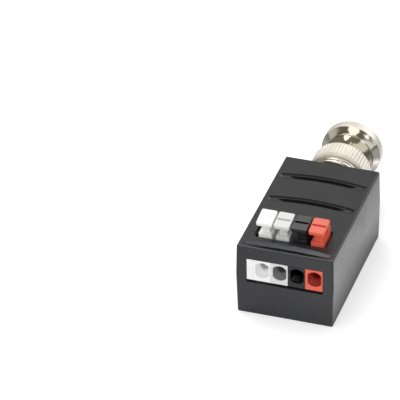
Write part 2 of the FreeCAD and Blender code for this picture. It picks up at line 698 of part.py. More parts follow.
def connector_body():
    """The plug's fixed metal part: shank, bearing, shoulder, gasket seat and slotted contact sleeve."""
    insulator_step = SHOULDER_START
    outline = [
        (SHANK_END, REAR_BORE_RADIUS),
        (SHANK_END, SHANK_RADIUS),
        (COLLAR_END, SHANK_RADIUS),
        (COLLAR_END, BEARING_RADIUS),
        (SHOULDER_START, BEARING_RADIUS),
        (SHOULDER_START, SHOULDER_RADIUS),
        (SHOULDER_END, SHOULDER_RADIUS),
        (SHOULDER_END, GASKET_SEAT_RADIUS),
        (CONTACT_START, GASKET_SEAT_RADIUS),
        (CONTACT_START, CONTACT_RADIUS),
        (CONTACT_END, CONTACT_RADIUS),
        (CONTACT_END, CONTACT_BORE_RADIUS),
        (insulator_step, CONTACT_BORE_RADIUS),
        (insulator_step, REAR_BORE_RADIUS),
    ]
    body = turned(outline)
    slot_start = CONTACT_START + INSULATOR_PROUD
    slots = []
    for i in range(CONTACT_SLOT_COUNT // 2):
        reach = CONTACT_RADIUS + WALL
        slot = box(PLUG_X - reach, PLUG_X + reach, slot_start, CONTACT_END + WALL,
                   PLUG_Z - CONTACT_SLOT_WIDTH / 2, PLUG_Z + CONTACT_SLOT_WIDTH / 2)
        slot.rotate(Vector(PLUG_X, 0, PLUG_Z), Y_AXIS, (i + 0.5) * 360 / CONTACT_SLOT_COUNT)
        slots.append(slot)
    return body.cut(slots)


def connector_insulator():
    """The white core between the sleeve and the centre pin."""
    step = SHOULDER_START + PART_GAP
    front = CONTACT_START + INSULATOR_PROUD
    rear = SHANK_END - INSULATOR_REAR_PROUD
    return turned([
        (rear, PIN_RADIUS + PART_GAP),
        (rear, REAR_BORE_RADIUS - PART_GAP),
        (step, REAR_BORE_RADIUS - PART_GAP),
        (step, CONTACT_BORE_RADIUS - PART_GAP),
        (front, CONTACT_BORE_RADIUS - PART_GAP),
        (front, PIN_RADIUS + PART_GAP),
    ])


def centre_pin():
    """The pin: solder tail behind the insulator, blunt cone tip in the mouth."""
    tip = CONTACT_END - PIN_TIP_SETBACK
    tail = SHANK_END - INSULATOR_REAR_PROUD - PIN_TAIL_PROUD
    return turned([
        (tail, 0),
        (tail, PIN_RADIUS),
        (tip - PIN_TIP_BEVEL, PIN_RADIUS),
        (tip, PIN_RADIUS - PIN_TIP_BEVEL),
        (tip, 0),
    ])


def gasket():
    """The rubber ring that a mated socket presses on."""
    outer = SHOULDER_RADIUS - GASKET_EDGE_SETBACK
    return tube(SHOULDER_END + PART_GAP / 2, GASKET_END, outer, GASKET_SEAT_RADIUS + PART_GAP)


def collar():
    """The smooth ring between the case and the coupling nut."""
    return tube(COLLAR_START, COLLAR_END - PART_GAP, COLLAR_RADIUS, SHANK_RADIUS + PART_GAP)


def thrust_washer():
    """The flat washer that the nut's lip pushes forward."""
    return tube(WASHER_START, WASHER_END, SHOULDER_RADIUS, BEARING_RADIUS + BEARING_GAP)


def spring_washer():
    """A washer bent in flats about the X axis, between the thrust washer and the shoulder."""
    start = WASHER_END + WASHER_GAP / 2
    end = SHOULDER_START - WASHER_GAP / 2
    under = []
    for i in range(SPRING_WASHER_FLATS + 1):
        share = 2 * i / SPRING_WASHER_FLATS - 1
        under.append((start + NUT_TRAVEL * share ** 2, PLUG_Z + SHOULDER_RADIUS * share))
    over = [(y + SPRING_WASHER_THICKNESS, z) for y, z in under]
    sheet = polygon_x(under + over[::-1], PLUG_X - SHOULDER_RADIUS, PLUG_X + SHOULDER_RADIUS)
    return sheet.common(tube(start - WALL, end + WALL, SHOULDER_RADIUS, BEARING_RADIUS + BEARING_GAP))


def bayonet_channel(start_angle):
    """The path of one lug: in from the mouth, then along a ramp that draws the nut tight.

    The ramp is the space between two parallel planes that lean against the axis, kept to a
    sector of the wall. Its closed end is round."""
    half = LUG_SLOT_WIDTH / 2
    ramp_start = RAMP_END + RAMP_RISE
    middle_y = (ramp_start + RAMP_END) / 2
    inner = SOCKET_RADIUS - WALL
    wall = [(RAMP_END - 2 * half, inner), (NUT_END, inner), (NUT_END, LUG_SLOT_RADIUS),
            (RAMP_END - 2 * half, LUG_SLOT_RADIUS)]
    sector = turned_sector(wall, 0.0, RAMP_ANGLE)
    reach = 2 * LUG_SLOT_RADIUS
    axis_point = Vector(PLUG_X, middle_y, PLUG_Z)
    slab = box(PLUG_X - reach, PLUG_X + reach, middle_y - half, middle_y + half, PLUG_Z, PLUG_Z + reach)
    chord = 2 * SOCKET_RADIUS * math.sin(math.radians(RAMP_ANGLE / 2))
    lean = math.degrees(math.atan(RAMP_RISE / chord))
    slab.rotate(axis_point, Z_AXIS, lean)
    slab.rotate(axis_point, Y_AXIS, RAMP_ANGLE / 2)
    ramp = sector.common(slab)
    closed_end = Part.makeCylinder(half, LUG_SLOT_RADIUS, Vector(PLUG_X, RAMP_END, PLUG_Z), Z_AXIS)
    entry_turn = Part.makeCylinder(half, LUG_SLOT_RADIUS, Vector(PLUG_X, ramp_start, PLUG_Z), Z_AXIS)
    entry = box(PLUG_X - half, PLUG_X + half, ramp_start, NUT_END + WALL, PLUG_Z, PLUG_Z + LUG_SLOT_RADIUS)
    way_in = entry_turn.fuse(entry)
    way_in.rotate(axis_point, Y_AXIS, RAMP_ANGLE)
    rim = Part.makeCylinder(LUG_SLOT_RADIUS, NUT_LENGTH + WALL, Vector(PLUG_X, NUT_START, PLUG_Z), Y_AXIS)
    channel = ramp.fuse([closed_end, way_in]).common(rim)
    channel.rotate(axis_point, Y_AXIS, start_angle)
    return channel


def star(y, tip_radius):
    """A closed wire round the plug's axis with one point for each knurl rib."""
    points = []
    for i in range(2 * KNURL_COUNT):
        radius = tip_radius - KNURL_DEPTH * (i % 2)
        a = math.pi * i / KNURL_COUNT
        points.append(Vector(PLUG_X + radius * math.sin(a), y, PLUG_Z + radius * math.cos(a)))
    return Part.makePolygon(points + points[:1])


def knurled_grip():
    """The ribbed part of the nut: a star-shaped bar that narrows at both ends."""
    end = NUT_START + KNURL_LENGTH
    tip = KNURL_RADIUS - KNURL_BEVEL
    wires = [
        star(NUT_START, tip),
        star(NUT_START + KNURL_BEVEL, KNURL_RADIUS),
        star(end - KNURL_BEVEL, KNURL_RADIUS),
        star(end, tip),
    ]
    return Part.makeLoft(wires, True, True)


def coupling_nut():
    """The turning nut: knurled grip, neck, flared rim, lip bore, socket and two bayonet ramps."""
    rim_start = FLARE_START + FLARE_LENGTH
    barrel = turned([
        (NUT_START + KNURL_BEVEL, 0),
        (NUT_START + KNURL_BEVEL, NECK_RADIUS),
        (FLARE_START, NECK_RADIUS),
        (rim_start, RIM_RADIUS),
        (NUT_END, RIM_RADIUS),
        (NUT_END, 0),
    ])
    hollow = turned([
        (NUT_START - WALL, 0),
        (NUT_START - WALL, BEARING_RADIUS + BEARING_GAP),
        (LIP_END, BEARING_RADIUS + BEARING_GAP),
        (LIP_END, SOCKET_RADIUS),
        (NUT_END + WALL, SOCKET_RADIUS),
        (NUT_END + WALL, 0),
    ])
    nut = knurled_grip().fuse(barrel).cut(hollow)
    channels = []
    for i in range(LUG_COUNT):
        channels.append(bayonet_channel(RAMP_END_ANGLE + i * 360.0 / LUG_COUNT))
    return nut.cut(channels)


def lock_nut():
    """The thin hexagon nut on the shank, inside the rear wall."""
    start = SEAT_Y - TAG_THICKNESS - 2 * PART_GAP - LOCK_NUT_THICKNESS
    corner = LOCK_NUT_FLATS / 2 / math.cos(math.pi / HEXAGON)
    points = []
    for i in range(HEXAGON):
        a = 2 * math.pi * i / HEXAGON
        points.append(Vector(PLUG_X + corner * math.cos(a), start, PLUG_Z + corner * math.sin(a)))
    hexagon = prism(Part.makePolygon(points + points[:1]), Vector(0, LOCK_NUT_THICKNESS, 0))
    hole = Part.makeCylinder(SHANK_RADIUS + PART_GAP, CASE_LENGTH, Vector(PLUG_X, 0, PLUG_Z), Y_AXIS)
    return hexagon.cut(hole)


def ground_tag():
    """A square plate on the shank with an arm that comes down on the board."""
    back = SEAT_Y - PART_GAP
    front = back - TAG_THICKNESS
    plate = box(PLUG_X - TAG_HALF_WIDTH, PLUG_X + TAG_HALF_WIDTH, front, back,
                PLUG_Z - TAG_HALF_WIDTH, PLUG_Z + TAG_HALF_WIDTH)
    hole = Part.makeCylinder(SHANK_RADIUS + PART_GAP, CASE_LENGTH, Vector(PLUG_X, 0, PLUG_Z), Y_AXIS)
    right = PLUG_X + TAG_REACH + TAG_ARM_WIDTH / 2
    left = right - TAG_ARM_WIDTH
    seat = BOARD_TOP + PART_GAP
    arm = box(PLUG_X + (SHANK_RADIUS + TAG_HALF_WIDTH) / 2, right, front, back,
              PLUG_Z - TAG_ARM_WIDTH / 2, PLUG_Z + TAG_ARM_WIDTH / 2)
    drop = box(left, right, front, back, seat, PLUG_Z)
    foot = box(left, right, back - TAG_FOOT_LENGTH, back, seat, seat + TAG_THICKNESS)
    return plate.fuse([arm, drop, foot]).cut(hole).removeSplitter()


def lead_foot():
    """Where the signal lead goes through the board."""
    tail = SHANK_END - INSULATOR_REAR_PROUD - PIN_TAIL_PROUD
    return PLUG_X, tail - PART_GAP - LEAD_SETBACK


def signal_lead():
    """The square wire from the pin's tail: a short run, then down through the board."""
    x, y = lead_foot()
    half = LEAD_WIDTH / 2
    run = box(x - half, x + half, y - half, y + LEAD_SETBACK, PLUG_Z - half, PLUG_Z + half)
    drop = box(x - half, x + half, y - half, y + half, BOARD_BOTTOM - LEAD_TAIL, PLUG_Z)
    return run.fuse(drop).removeSplitter()


def toroid_core():
    """The ferrite ring of the balun transformer."""
    bottom = BOARD_TOP + PART_GAP + TURN_WIRE
    top = bottom + CORE_HEIGHT
    outer = cylinder_z(CORE_RADIUS, CORE_X, CORE_Y, bottom, top)
    return outer.cut(cylinder_z(CORE_BORE_RADIUS, CORE_X, CORE_Y, bottom - WALL, top + WALL))


def toroid_winding():
    """The turns round the core, a group of separate wire loops."""
    bottom = BOARD_TOP + PART_GAP
    gap = PART_GAP / 2
    inner_x = CORE_BORE_RADIUS - gap
    outer_x = CORE_RADIUS + gap
    low = bottom + TURN_WIRE - gap
    high = bottom + TURN_WIRE + CORE_HEIGHT + gap
    half = TURN_WIRE / 2
    turns = []
    for i in range(TURN_COUNT):
        loop = box(inner_x - TURN_WIRE, outer_x + TURN_WIRE, -half, half,
                   low - TURN_WIRE + gap, high + TURN_WIRE)
        loop = loop.cut(box(inner_x, outer_x, -TURN_WIRE, TURN_WIRE, low, high))
        loop.rotate(Vector(0, 0, 0), Z_AXIS, (i + 0.5) * 360.0 / TURN_COUNT)
        loop.translate(Vector(CORE_X, CORE_Y, 0))
        turns.append(loop)
    return Part.makeCompound(turns)


def chip(size, x, y):
    """A chip part on the board: a block between two slightly larger metal ends."""
    length, width, height = size
    seat = BOARD_TOP + PART_GAP
    body = box(x - length / 2, x + length / 2, y - width / 2, y + width / 2,
               seat + CHIP_END_LIP, seat + height)
    ends = []
    for side in (-1, 1):
        inner = side * (length / 2 - CHIP_END_LENGTH)
        outer = side * (length / 2 + CHIP_END_LIP)
        ends.append(box(x + min(inner, outer), x + max(inner, outer), y - width / 2 - CHIP_END_LIP,
                        y + width / 2 + CHIP_END_LIP, seat, seat + height + CHIP_END_LIP))
    return body.fuse(ends).removeSplitter()


def chip_at(size, place):
    """A chip in the file along the board's left edge, which fills the run between the posts."""
    front = POST_Y[0] + POST_HALF_WIDTH
    rear = POST_Y[1] - POST_HALF_WIDTH
    y = front + (rear - front) * (place + 0.5) / CHIP_PLACES
    return chip(size, CHIP_SIDE_GAP - BOARD_HALF_WIDTH, y)


def chip_capacitor():
    return chip_at(CAPACITOR_SIZE, CAPACITOR_PLACE)


def chip_resistors():
    return Part.makeCompound([chip_at(RESISTOR_SIZE, place) for place in RESISTOR_PLACES])


def transient_suppressor():
    """The moulded surge diode, near the board's right edge."""
    width, length, height = SUPPRESSOR_SIZE
    x = BOARD_HALF_WIDTH - SUPPRESSOR_SIDE_GAP
    y = CORE_Y
    seat = BOARD_TOP + PART_GAP
    block = box(x - width / 2, x + width / 2, y - length / 2, y + length / 2, seat, seat + height)
    return block.makeChamfer(SUPPRESSOR_CHAMFER, edges_at(block, seat + height))


def make_nodes():
    """Every piece under its own name."""
    nodes = {
        "top_cover": top_cover(),
        "bottom_case": bottom_case(),
        "circuit_board": circuit_board(),
        "terminal_end_plate": end_plate(),
        "connector_body": connector_body(),
        "connector_insulator": connector_insulator(),
        "centre_pin": centre_pin(),
        "face_gasket": gasket(),
        "connector_collar": collar(),
        "coupling_nut": coupling_nut(),
        "thrust_washer": thrust_washer(),
        "spring_washer": spring_washer(),
        "lock_nut": lock_nut(),
        "ground_tag": ground_tag(),
        "signal_lead": signal_lead(),
        "toroid_core": toroid_core(),
        "toroid_winding": toroid_winding(),
        "transient_suppressor": transient_suppressor(),
        "chip_capacitor": chip_capacitor(),
        "chip_resistors": chip_resistors(),
    }
    for i, name in enumerate(MODULE_NAMES):
        nodes["terminal_housing_" + name] = terminal_housing(i)
        nodes["contact_bar_" + name] = contact_bar(i)
        nodes["clamp_spring_" + name] = clamp_spring(i)
        nodes["push_button_" + name] = button(i)
    return nodes


os.makedirs("parts", exist_ok=True)
for node, shape in make_nodes().items():
    shape.exportStep("parts/" + node + ".step")
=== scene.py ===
import math
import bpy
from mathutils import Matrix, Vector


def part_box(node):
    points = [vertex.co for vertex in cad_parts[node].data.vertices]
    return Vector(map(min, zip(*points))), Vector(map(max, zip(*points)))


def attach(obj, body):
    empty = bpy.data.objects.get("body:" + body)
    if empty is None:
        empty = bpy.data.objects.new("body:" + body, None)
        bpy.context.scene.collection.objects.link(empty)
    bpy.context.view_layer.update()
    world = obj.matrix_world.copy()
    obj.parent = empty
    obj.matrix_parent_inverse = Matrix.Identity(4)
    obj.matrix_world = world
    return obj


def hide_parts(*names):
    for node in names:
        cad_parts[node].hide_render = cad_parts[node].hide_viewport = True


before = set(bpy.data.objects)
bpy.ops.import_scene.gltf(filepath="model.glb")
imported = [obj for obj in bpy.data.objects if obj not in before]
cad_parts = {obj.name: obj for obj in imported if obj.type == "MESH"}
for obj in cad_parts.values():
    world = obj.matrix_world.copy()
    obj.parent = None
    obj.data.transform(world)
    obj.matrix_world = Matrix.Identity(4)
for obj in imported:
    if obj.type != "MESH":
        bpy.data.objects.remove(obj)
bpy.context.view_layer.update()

from types import SimpleNamespace

import bmesh
import bpy
import numpy as np
from bpy.props import FloatProperty, FloatVectorProperty, IntProperty, PointerProperty
from mathutils import Matrix, Vector

bl_info = {
    "name": "Video balun",
    "version": (1, 0, 0),
    "blender": (4, 5, 0),
    "location": "View3D > Sidebar > Balun",
    "description": "Builds the visible pieces, finishes and stage of a video balun",
    "category": "Add Mesh",
}

MM = 0.001
NAMES = ("white", "grey", "black", "red")


def corners(node):
    """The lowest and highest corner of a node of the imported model, in millimetres."""
    low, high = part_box(node)
    return np.array(low) / MM, np.array(high) / MM


COVER_LOW, COVER_HIGH = corners("top_cover")
ROW_FRONT = corners("terminal_end_plate")[0][1]
NUT_LOW, NUT_HIGH = corners("coupling_nut")
SEAM = 10.5
PLUG_X, PLUG_Z = (NUT_LOW[0] + NUT_HIGH[0]) / 2, (NUT_LOW[2] + NUT_HIGH[2]) / 2


def length(name, description, millimetres):
    """A size for a settings group. Blender keeps it in metres."""
    return FloatProperty(name=name, description=description, default=millimetres * MM,
                         min=0.0, precision=5, unit="LENGTH")


def number(name, description, value, unit="NONE"):
    """A plain number for a settings group."""
    return FloatProperty(name=name, description=description, default=value, unit=unit)


def angle(name, description, degrees):
    """An angle for a settings group."""
    return number(name, description, math.radians(degrees), "ROTATION")


def colour(name, description, red, green, blue):
    """A colour for a settings group, as linear red, green and blue."""
    return FloatVectorProperty(name=name, description=description, default=(red, green, blue),
                               size=3, min=0.0, max=1.0, subtype="COLOR")


class CaseSettings(bpy.types.PropertyGroup):
    plastic: colour("Plastic", "Colour of the two shells", 0.0315, 0.032, 0.0355)
    draft: angle("Draft", "How far the walls lean in from the seam", 1.2)
    wall: length("Wall", "Thickness of the shells", 1.5)
    edge_radius: length("Edge radius", "Round of the top and upright edges", 0.42)
    base_edge_radius: length("Base edge", "Round of the edges at the base", 0.3)
    seam_bevel: length("Seam bevel", "Small bevel of both shells along the seam", 0.015)
    window_bevel: length("Window bevel", "Bevel round the windows", 0.1)
    window_corner: length("Window corner", "Corner radius of the buttons' window", 0.8)
    groove_radius: length("Groove arc", "Radius of the grip grooves, seen from above", 44.8)
    groove_width: length("Groove width", "Width of a grip groove", 2.3)
    groove_margin: length("Groove margin", "From a groove's end to the side of the case", 1.1)
    groove_step: length("Groove step", "Depth of the step at a groove's rear edge", 0.34)
    groove_depth: length("Groove depth", "Greatest depth of a groove's floor", 0.36)
    groove_ramp: length("Groove ramp", "Length of the ramp up to a groove's front edge", 0.75)
    lip_width: length("Lip width", "From a groove's rear edge to its crescent", 0.72)
    step_slope: angle("Step slope", "Slope of the step at a groove's rear edge", 84.0)
    front_slope: angle("Front slope", "Slope of the front groove's rear side", 25.0)
    front_slope_length: length("Front slope length", "Length of the front groove's rear side", 1.15)
    front_depth: length("Front depth", "Depth of the front groove's crescent", 0.95)
    crescent_depth: length("Crescent depth", "Depth of the crescent at a groove's front", 1.2)
    crescent_width: length("Crescent width", "Width of the crescent in its middle", 1.6)
    crescent_inset: length("Crescent inset", "How much sooner the crescent ends than its groove", 2.4)
    crescent_undercut: length("Crescent undercut", "How far the crescent reaches under its rear edge", 0.45)


class TerminalSettings(bpy.types.PropertyGroup):
    edge_radius: length("Edge radius", "Round of a terminal's edges", 0.05)
    port_radius: length("Port radius", "Radius of a wire port's mouth", 1.92)
    port_flat_width: length("Port width", "Width of the mouth between its flat sides", 3.14)
    port_lip: length("Port lip", "Bevel round the mouth", 0.09)
    port_straight: length("Straight part", "Length of the mouth before the funnel", 0.5)
    port_funnel: length("Funnel", "Length of the funnel", 1.3)
    throat_radius: length("Throat radius", "Radius of the throat behind the funnel", 0.95)
    white: colour("White", "White terminal and button", 0.92, 0.92, 0.91)
    grey: colour("Grey", "Grey terminal and button", 0.72, 0.725, 0.72)
    black: colour("Black", "Black terminal and button", 0.016, 0.016, 0.017)
    red: colour("Red", "Red terminal and button", 0.80, 0.125, 0.07)


class ButtonSettings(bpy.types.PropertyGroup):
    pad_width: length("Pad width", "Width of the pad", 3.7)
    pad_length: length("Pad length", "Length of the pad", 5.05)
    pad_thickness: length("Pad thickness", "Thickness of the pad", 0.88)
    pad_corner: length("Pad corner", "Corner radius of the pad", 0.42)
    pad_edge: length("Pad edge", "Round of the pad's edges", 0.17)
    pad_tilt: angle("Pad tilt", "How far the pad leans", 7.0)
    slot_width: length("Slot width", "Width of the slot across the pad", 0.6)
    slot_depth: length("Slot depth", "Depth of the slot across the pad", 0.55)
    white_slot_depth: length("White slot depth", "Depth of the slot across the white pad", 0.12)
    slot_margin: length("Slot margin", "From the slot's ends to the pad's sides", 0.3)
    foot_width: length("Foot width", "Width of the foot in the window", 3.05)
    neck_width: length("Neck width", "Width of the neck under the pad", 1.85)


class PlugSettings(bpy.types.PropertyGroup):
    nickel: colour("Nickel", "Plating of the plug", 0.80, 0.755, 0.68)
    pin: colour("Pin", "Colour of the centre pin", 0.86, 0.66, 0.30)
    insulator: colour("Insulator", "Colour of the insulator", 0.86, 0.855, 0.83)
    rubber: colour("Rubber", "Colour of the face gasket", 0.02, 0.02, 0.02)
    rib_count: IntProperty(name="Ribs", description="Ribs round the grip", default=54, min=12)
    rib_depth: length("Rib depth", "Depth of the furrows between the ribs", 0.2)
    slot_width: length("Slot width", "Width of the contact sleeve's slots", 0.5)
    channel_width: length("Channel width", "Width of the bayonet channels", 2.2)
    channel_radius: length("Channel radius", "How far out the bayonet channels reach", 5.7)
    channel_end: angle("Channel end", "Where the first channel ends, from straight up", 35.0)
    channel_turn: angle("Channel turn", "How far a channel goes round", 90.0)
    channel_rise: length("Channel rise", "How far a channel draws the nut on", 1.6)


class BoardSettings(bpy.types.PropertyGroup):
    mask: colour("Mask", "Solder mask of the board", 0.012, 0.12, 0.045)
    ferrite: colour("Ferrite", "Ring core", 0.035, 0.035, 0.038)
    wire: colour("Wire", "Enamelled winding", 0.50, 0.15, 0.05)
    tin: colour("Tin", "Tinned metal", 0.72, 0.71, 0.68)
    spring: colour("Spring", "Spring steel", 0.56, 0.56, 0.56)
    moulding: colour("Moulding", "Moulded parts on the board", 0.02, 0.02, 0.02)
    ceramic: colour("Ceramic", "Ceramic chip", 0.40, 0.27, 0.15)


class StageSettings(bpy.types.PropertyGroup):
    camera_distance: length("Camera distance", "From the camera to the middle of the case", 897.5)
    camera_azimuth: angle("Azimuth", "The camera's direction, from the front towards the right", 16.88)
    camera_elevation: angle("Elevation", "The camera's height above the middle of the case", 34.80)
    focal_pixels: number("Focal length", "Focal length in pixels of the picture", 3950.0)
    picture_width: number("Picture width", "Width of the picture in pixels", 400.0)
    case_right: number("Case right", "Pixels from the picture's middle to the case's, rightwards", 109.06)
    case_down: number("Case down", "Pixels from the picture's middle to the case's, downwards", 40.49)
    floor: colour("Floor", "Colour of the floor", 0.90, 0.90, 0.90)
    key_power: number("Key light", "Power of the large light", 2.65, "POWER")
    sky: number("Sky", "Even light from all round", 0.65)
    front_sky: number("Front sky", "More even light from the front", 0.72)
    camera_lift: number("Camera lift", "Light that the floor adds for the camera", 0.4)
    mirror_lift: number("Mirror lift", "Light that the floor adds in reflections", 0.75)


def in_millimetres(settings):
    """A settings group's values by name, its lengths turned into millimetres."""
    values = {}
    for key, rule in settings.bl_rna.properties.items():
        if key not in ("rna_type", "name"):
            value = getattr(settings, key)
            values[key] = value / MM if rule.unit == "LENGTH" else value
    return SimpleNamespace(**values)


def grid_faces(rows, columns, wrap_rows=False, wrap_columns=False):
    """Quads of a grid whose point (i, j) has the number i * columns + j."""
    i = np.arange(rows - (not wrap_rows))[:, None] * columns
    j = np.arange(columns - (not wrap_columns))
    next_i, next_j = (i + columns) % (rows * columns), (j + 1) % columns
    return np.stack([i + j, i + next_j, next_i + next_j, next_i + j], -1).reshape(-1, 4)


def joined(*shapes):
    """Several shapes as one. A shape is its points and its blocks of faces, one for each size of face."""
    points, blocks, start = [], [], 0
    for p, b in shapes:
        points.append(p)
        blocks += [block + start for block in b]
        start += len(p)
    return np.concatenate(points), blocks


def lofted(rings):
    """A closed solid through a stack of rings, flat at both ends. Rings is an array (ring, point, xyz)."""
    count, around = rings.shape[:2]
    blocks = [grid_faces(count, around, wrap_columns=True)]
    blocks.append(np.arange(around)[::-1][None, :])
    blocks.append(np.arange(around)[None, :] + (count - 1) * around)
    return rings.reshape(-1, 3), blocks


def block(x0, x1, y0, y1, z0, z1):
    """A plain block, used as a cutter."""
    ring = np.array([(x0, y0), (x1, y0), (x1, y1), (x0, y1)])
    return lofted(np.stack([np.column_stack([ring, np.full(4, z)]) for z in (z0, z1)]))


def rounded(outline, radius, inset=0.0, steps=4):
    """An outline with its corners turned into arcs, drawn in by inset.

    For a corner P between directions e1 and e2 with left normals n1 and n2 the arc's centre is
    P + s r (n1 + n2) / (1 + n1.n2), and its points are centre - s (r - s inset) n, where n swings
    from n1 to n2 and s is 1 at a corner that bulges and -1 at one that goes in."""
    p = np.asarray(outline, float)
    e1 = p - np.roll(p, 1, axis=0)
    e1 /= np.linalg.norm(e1, axis=1)[:, None]
    e2 = np.roll(e1, -1, axis=0)
    n1, n2 = (np.column_stack([-e[:, 1], e[:, 0]]) for e in (e1, e2))
    s = np.sign(e1[:, 0] * e2[:, 1] - e1[:, 1] * e2[:, 0])[:, None]
    c = (n1 * n2).sum(axis=1)[:, None]
    r = np.broadcast_to(np.asarray(radius, float), len(p))[:, None]
    centre = p + s * r / (1 + c) * (n1 + n2)
    swing = np.arccos(np.clip(c, -1, 1))[:, None]
    t = np.linspace(0, 1, steps + 1)[None, :, None]
    n = (np.sin((1 - t) * swing) * n1[:, None] + np.sin(t * swing) * n2[:, None]) / np.sin(swing)
    arcs = centre[:, None] - (s * (r - s * inset))[:, None] * n
    return arcs.reshape(-1, 2)


def edge_levels(low, high, low_radius, high_radius, steps=4):
    """Heights and insets of a slab with round ends: quarter circles h = r (1 - cos a), d = r (1 - sin a)."""
    a = np.linspace(0, math.pi / 2, steps + 1)
    bottom = np.column_stack([low + low_radius * (1 - np.cos(a)), low_radius * (1 - np.sin(a))])
    top = np.column_stack([high - high_radius * (1 - np.cos(a)), high_radius * (1 - np.sin(a))])[::-1]
    return np.concatenate([bottom, top])


def slab(outline, corner, levels, axis="Z", steps=4):
    """A rounded outline carried through levels (height, inset) along an axis.

    The outline lies in (x, y) for Z, (y, z) for X and (z, x) for Y."""
    order = {"Z": (0, 1, 2), "X": (2, 0, 1), "Y": (1, 2, 0)}[axis]
    rings = []
    for height, inset in levels:
        ring = rounded(outline, corner, inset, steps)
        rings.append(np.column_stack([ring, np.full(len(ring), height)])[:, order])
    return lofted(np.stack(rings))


def rectangle(x0, x1, y0, y1):
    """The corners of a rectangle, anticlockwise."""
    return [(x0, y0), (x1, y0), (x1, y1), (x0, y1)]


def soft_block(x0, x1, y0, y1, z0, z1, radius):
    """A block with all its edges round."""
    return slab(rectangle(x0, x1, y0, y1), radius * 1.001, edge_levels(z0, z1, radius, radius))


def smooth_step(x):
    """0 below 0, 1 above 1 and 3x^2 - 2x^3 between."""
    x = np.clip(x, 0, 1)
    return x * x * (3 - 2 * x)


def edge_strip(radius, steps=5):
    """Grid lines across half of a round edge: r tan a, for a from 0 to 45 degrees."""
    return radius * np.tan(np.linspace(0, math.pi / 4, steps + 1))


def walled_box(xs, ys, zs):
    """A box of grids: a top of xs by ys, walls of their outline by zs, and a flat base."""
    x, y = np.meshgrid(xs, ys, indexing="ij")
    top = np.stack([x, y, np.full_like(x, zs[-1])], -1).reshape(-1, 3)
    loop = np.concatenate([
        np.column_stack([xs[:-1], np.full(len(xs) - 1, ys[0])]),
        np.column_stack([np.full(len(ys) - 1, xs[-1]), ys[:-1]]),
        np.column_stack([xs[:0:-1], np.full(len(xs) - 1, ys[-1])]),
        np.column_stack([np.full(len(ys) - 1, xs[0]), ys[:0:-1]]),
    ])
    around = len(loop)
    walls = np.concatenate([np.column_stack([loop, np.full(around, z)]) for z in zs])
    blocks = [grid_faces(len(zs), around, wrap_columns=True), np.arange(around)[::-1][None, :]]
    return joined((top, [grid_faces(len(xs), len(ys))]), (walls, blocks))


def round_edges(points, low, high, radius):
    """Rounds a box's edges: p moves to c + r (p - c) / |p - c|, c being the core's nearest point."""
    core = np.clip(points, np.asarray(low) + radius, np.asarray(high) - radius)
    out = points - core
    far = np.linalg.norm(out, axis=1)[:, None]
    return core + radius * out / np.maximum(far, 1e-9)


def on_plug(y, r, a):
    """The points at the place y, radius r and angle a about the plug's axis."""
    return np.stack([PLUG_X + r * np.sin(a), y, PLUG_Z + r * np.cos(a)], -1)


def turned(profile, around=128, closed=True, change=None):
    """A profile of (y, radius) carried round the plug's axis: x = r sin a, z = r cos a.

    Change is a function of (y, r, a) that gives the radius its ribs."""
    profile = np.asarray(profile, float)
    a = np.linspace(0, 2 * math.pi, around, endpoint=False)
    y, a = np.meshgrid(profile[:, 0], a, indexing="ij")
    r = np.broadcast_to(profile[:, 1][:, None], y.shape)
    if change is not None:
        r = change(y, r, a)
    return on_plug(y, r, a).reshape(-1, 3), [grid_faces(len(profile), around, closed, True)]


def to_mesh(shape):
    """A mesh from a shape, its doubles merged and its faces turned outwards."""
    points, blocks = shape
    mesh = bpy.data.meshes.new("mesh")
    mesh.from_pydata(points.tolist(), [], [face for faces in blocks for face in faces.tolist()])
    work = bmesh.new()
    work.from_mesh(mesh)
    bmesh.ops.remove_doubles(work, verts=work.verts, dist=1e-4)
    bmesh.ops.recalc_face_normals(work, faces=work.faces)
    work.to_mesh(mesh)
    work.free()
    return mesh


def placed(name, data):
    """A new object in the scene, made of some data."""
    thing = bpy.data.objects.new(name, data)
    bpy.context.scene.collection.objects.link(thing)
    return thing


def carved(shape, cutters, added=()):
    """A mesh of a shape with others added to it and then cutters taken out of it."""
    base = placed("base", to_mesh(shape))
    tools = []
    for other, operation in [(a, "UNION") for a in added] + [(c, "DIFFERENCE") for c in cutters]:
        tools.append(placed("tool", to_mesh(other)))
        boolean = base.modifiers.new("cut", "BOOLEAN")
        boolean.operation = operation
        boolean.solver = "EXACT"
        boolean.object = tools[-1]
    depsgraph = bpy.context.evaluated_depsgraph_get()
    mesh = bpy.data.meshes.new_from_object(base.evaluated_get(depsgraph), depsgraph=depsgraph)
    for thing in [base] + tools:
        bpy.data.objects.remove(thing)
    return mesh


def add_shape(mesh, shape):
    """Adds a closed shape to a mesh as a part of its own."""
    other = to_mesh(shape)
    work = bmesh.new()
    work.from_mesh(mesh)
    work.from_mesh(other)
    work.to_mesh(mesh)
    work.free()
    bpy.data.meshes.remove(other)


def piece(name, mesh, body, finish, node, sharp=32.0):
    """Makes an object of a mesh in millimetres, hides the node that it stands for and lets it ride.

    Edges that turn by more than sharp degrees are shaded as sharp."""
    mesh.transform(Matrix.Scale(MM, 4))
    mesh.name = name
    mesh.shade_smooth()
    mesh.set_sharp_from_angle(angle=math.radians(sharp))
    mesh.materials.clear()
    mesh.materials.append(finishes()[finish])
    thing = placed(name, mesh)
    normals = thing.modifiers.new("even shading", "WEIGHTED_NORMAL")
    normals.keep_sharp = True
    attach(thing, body)
    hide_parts(node)
    return thing


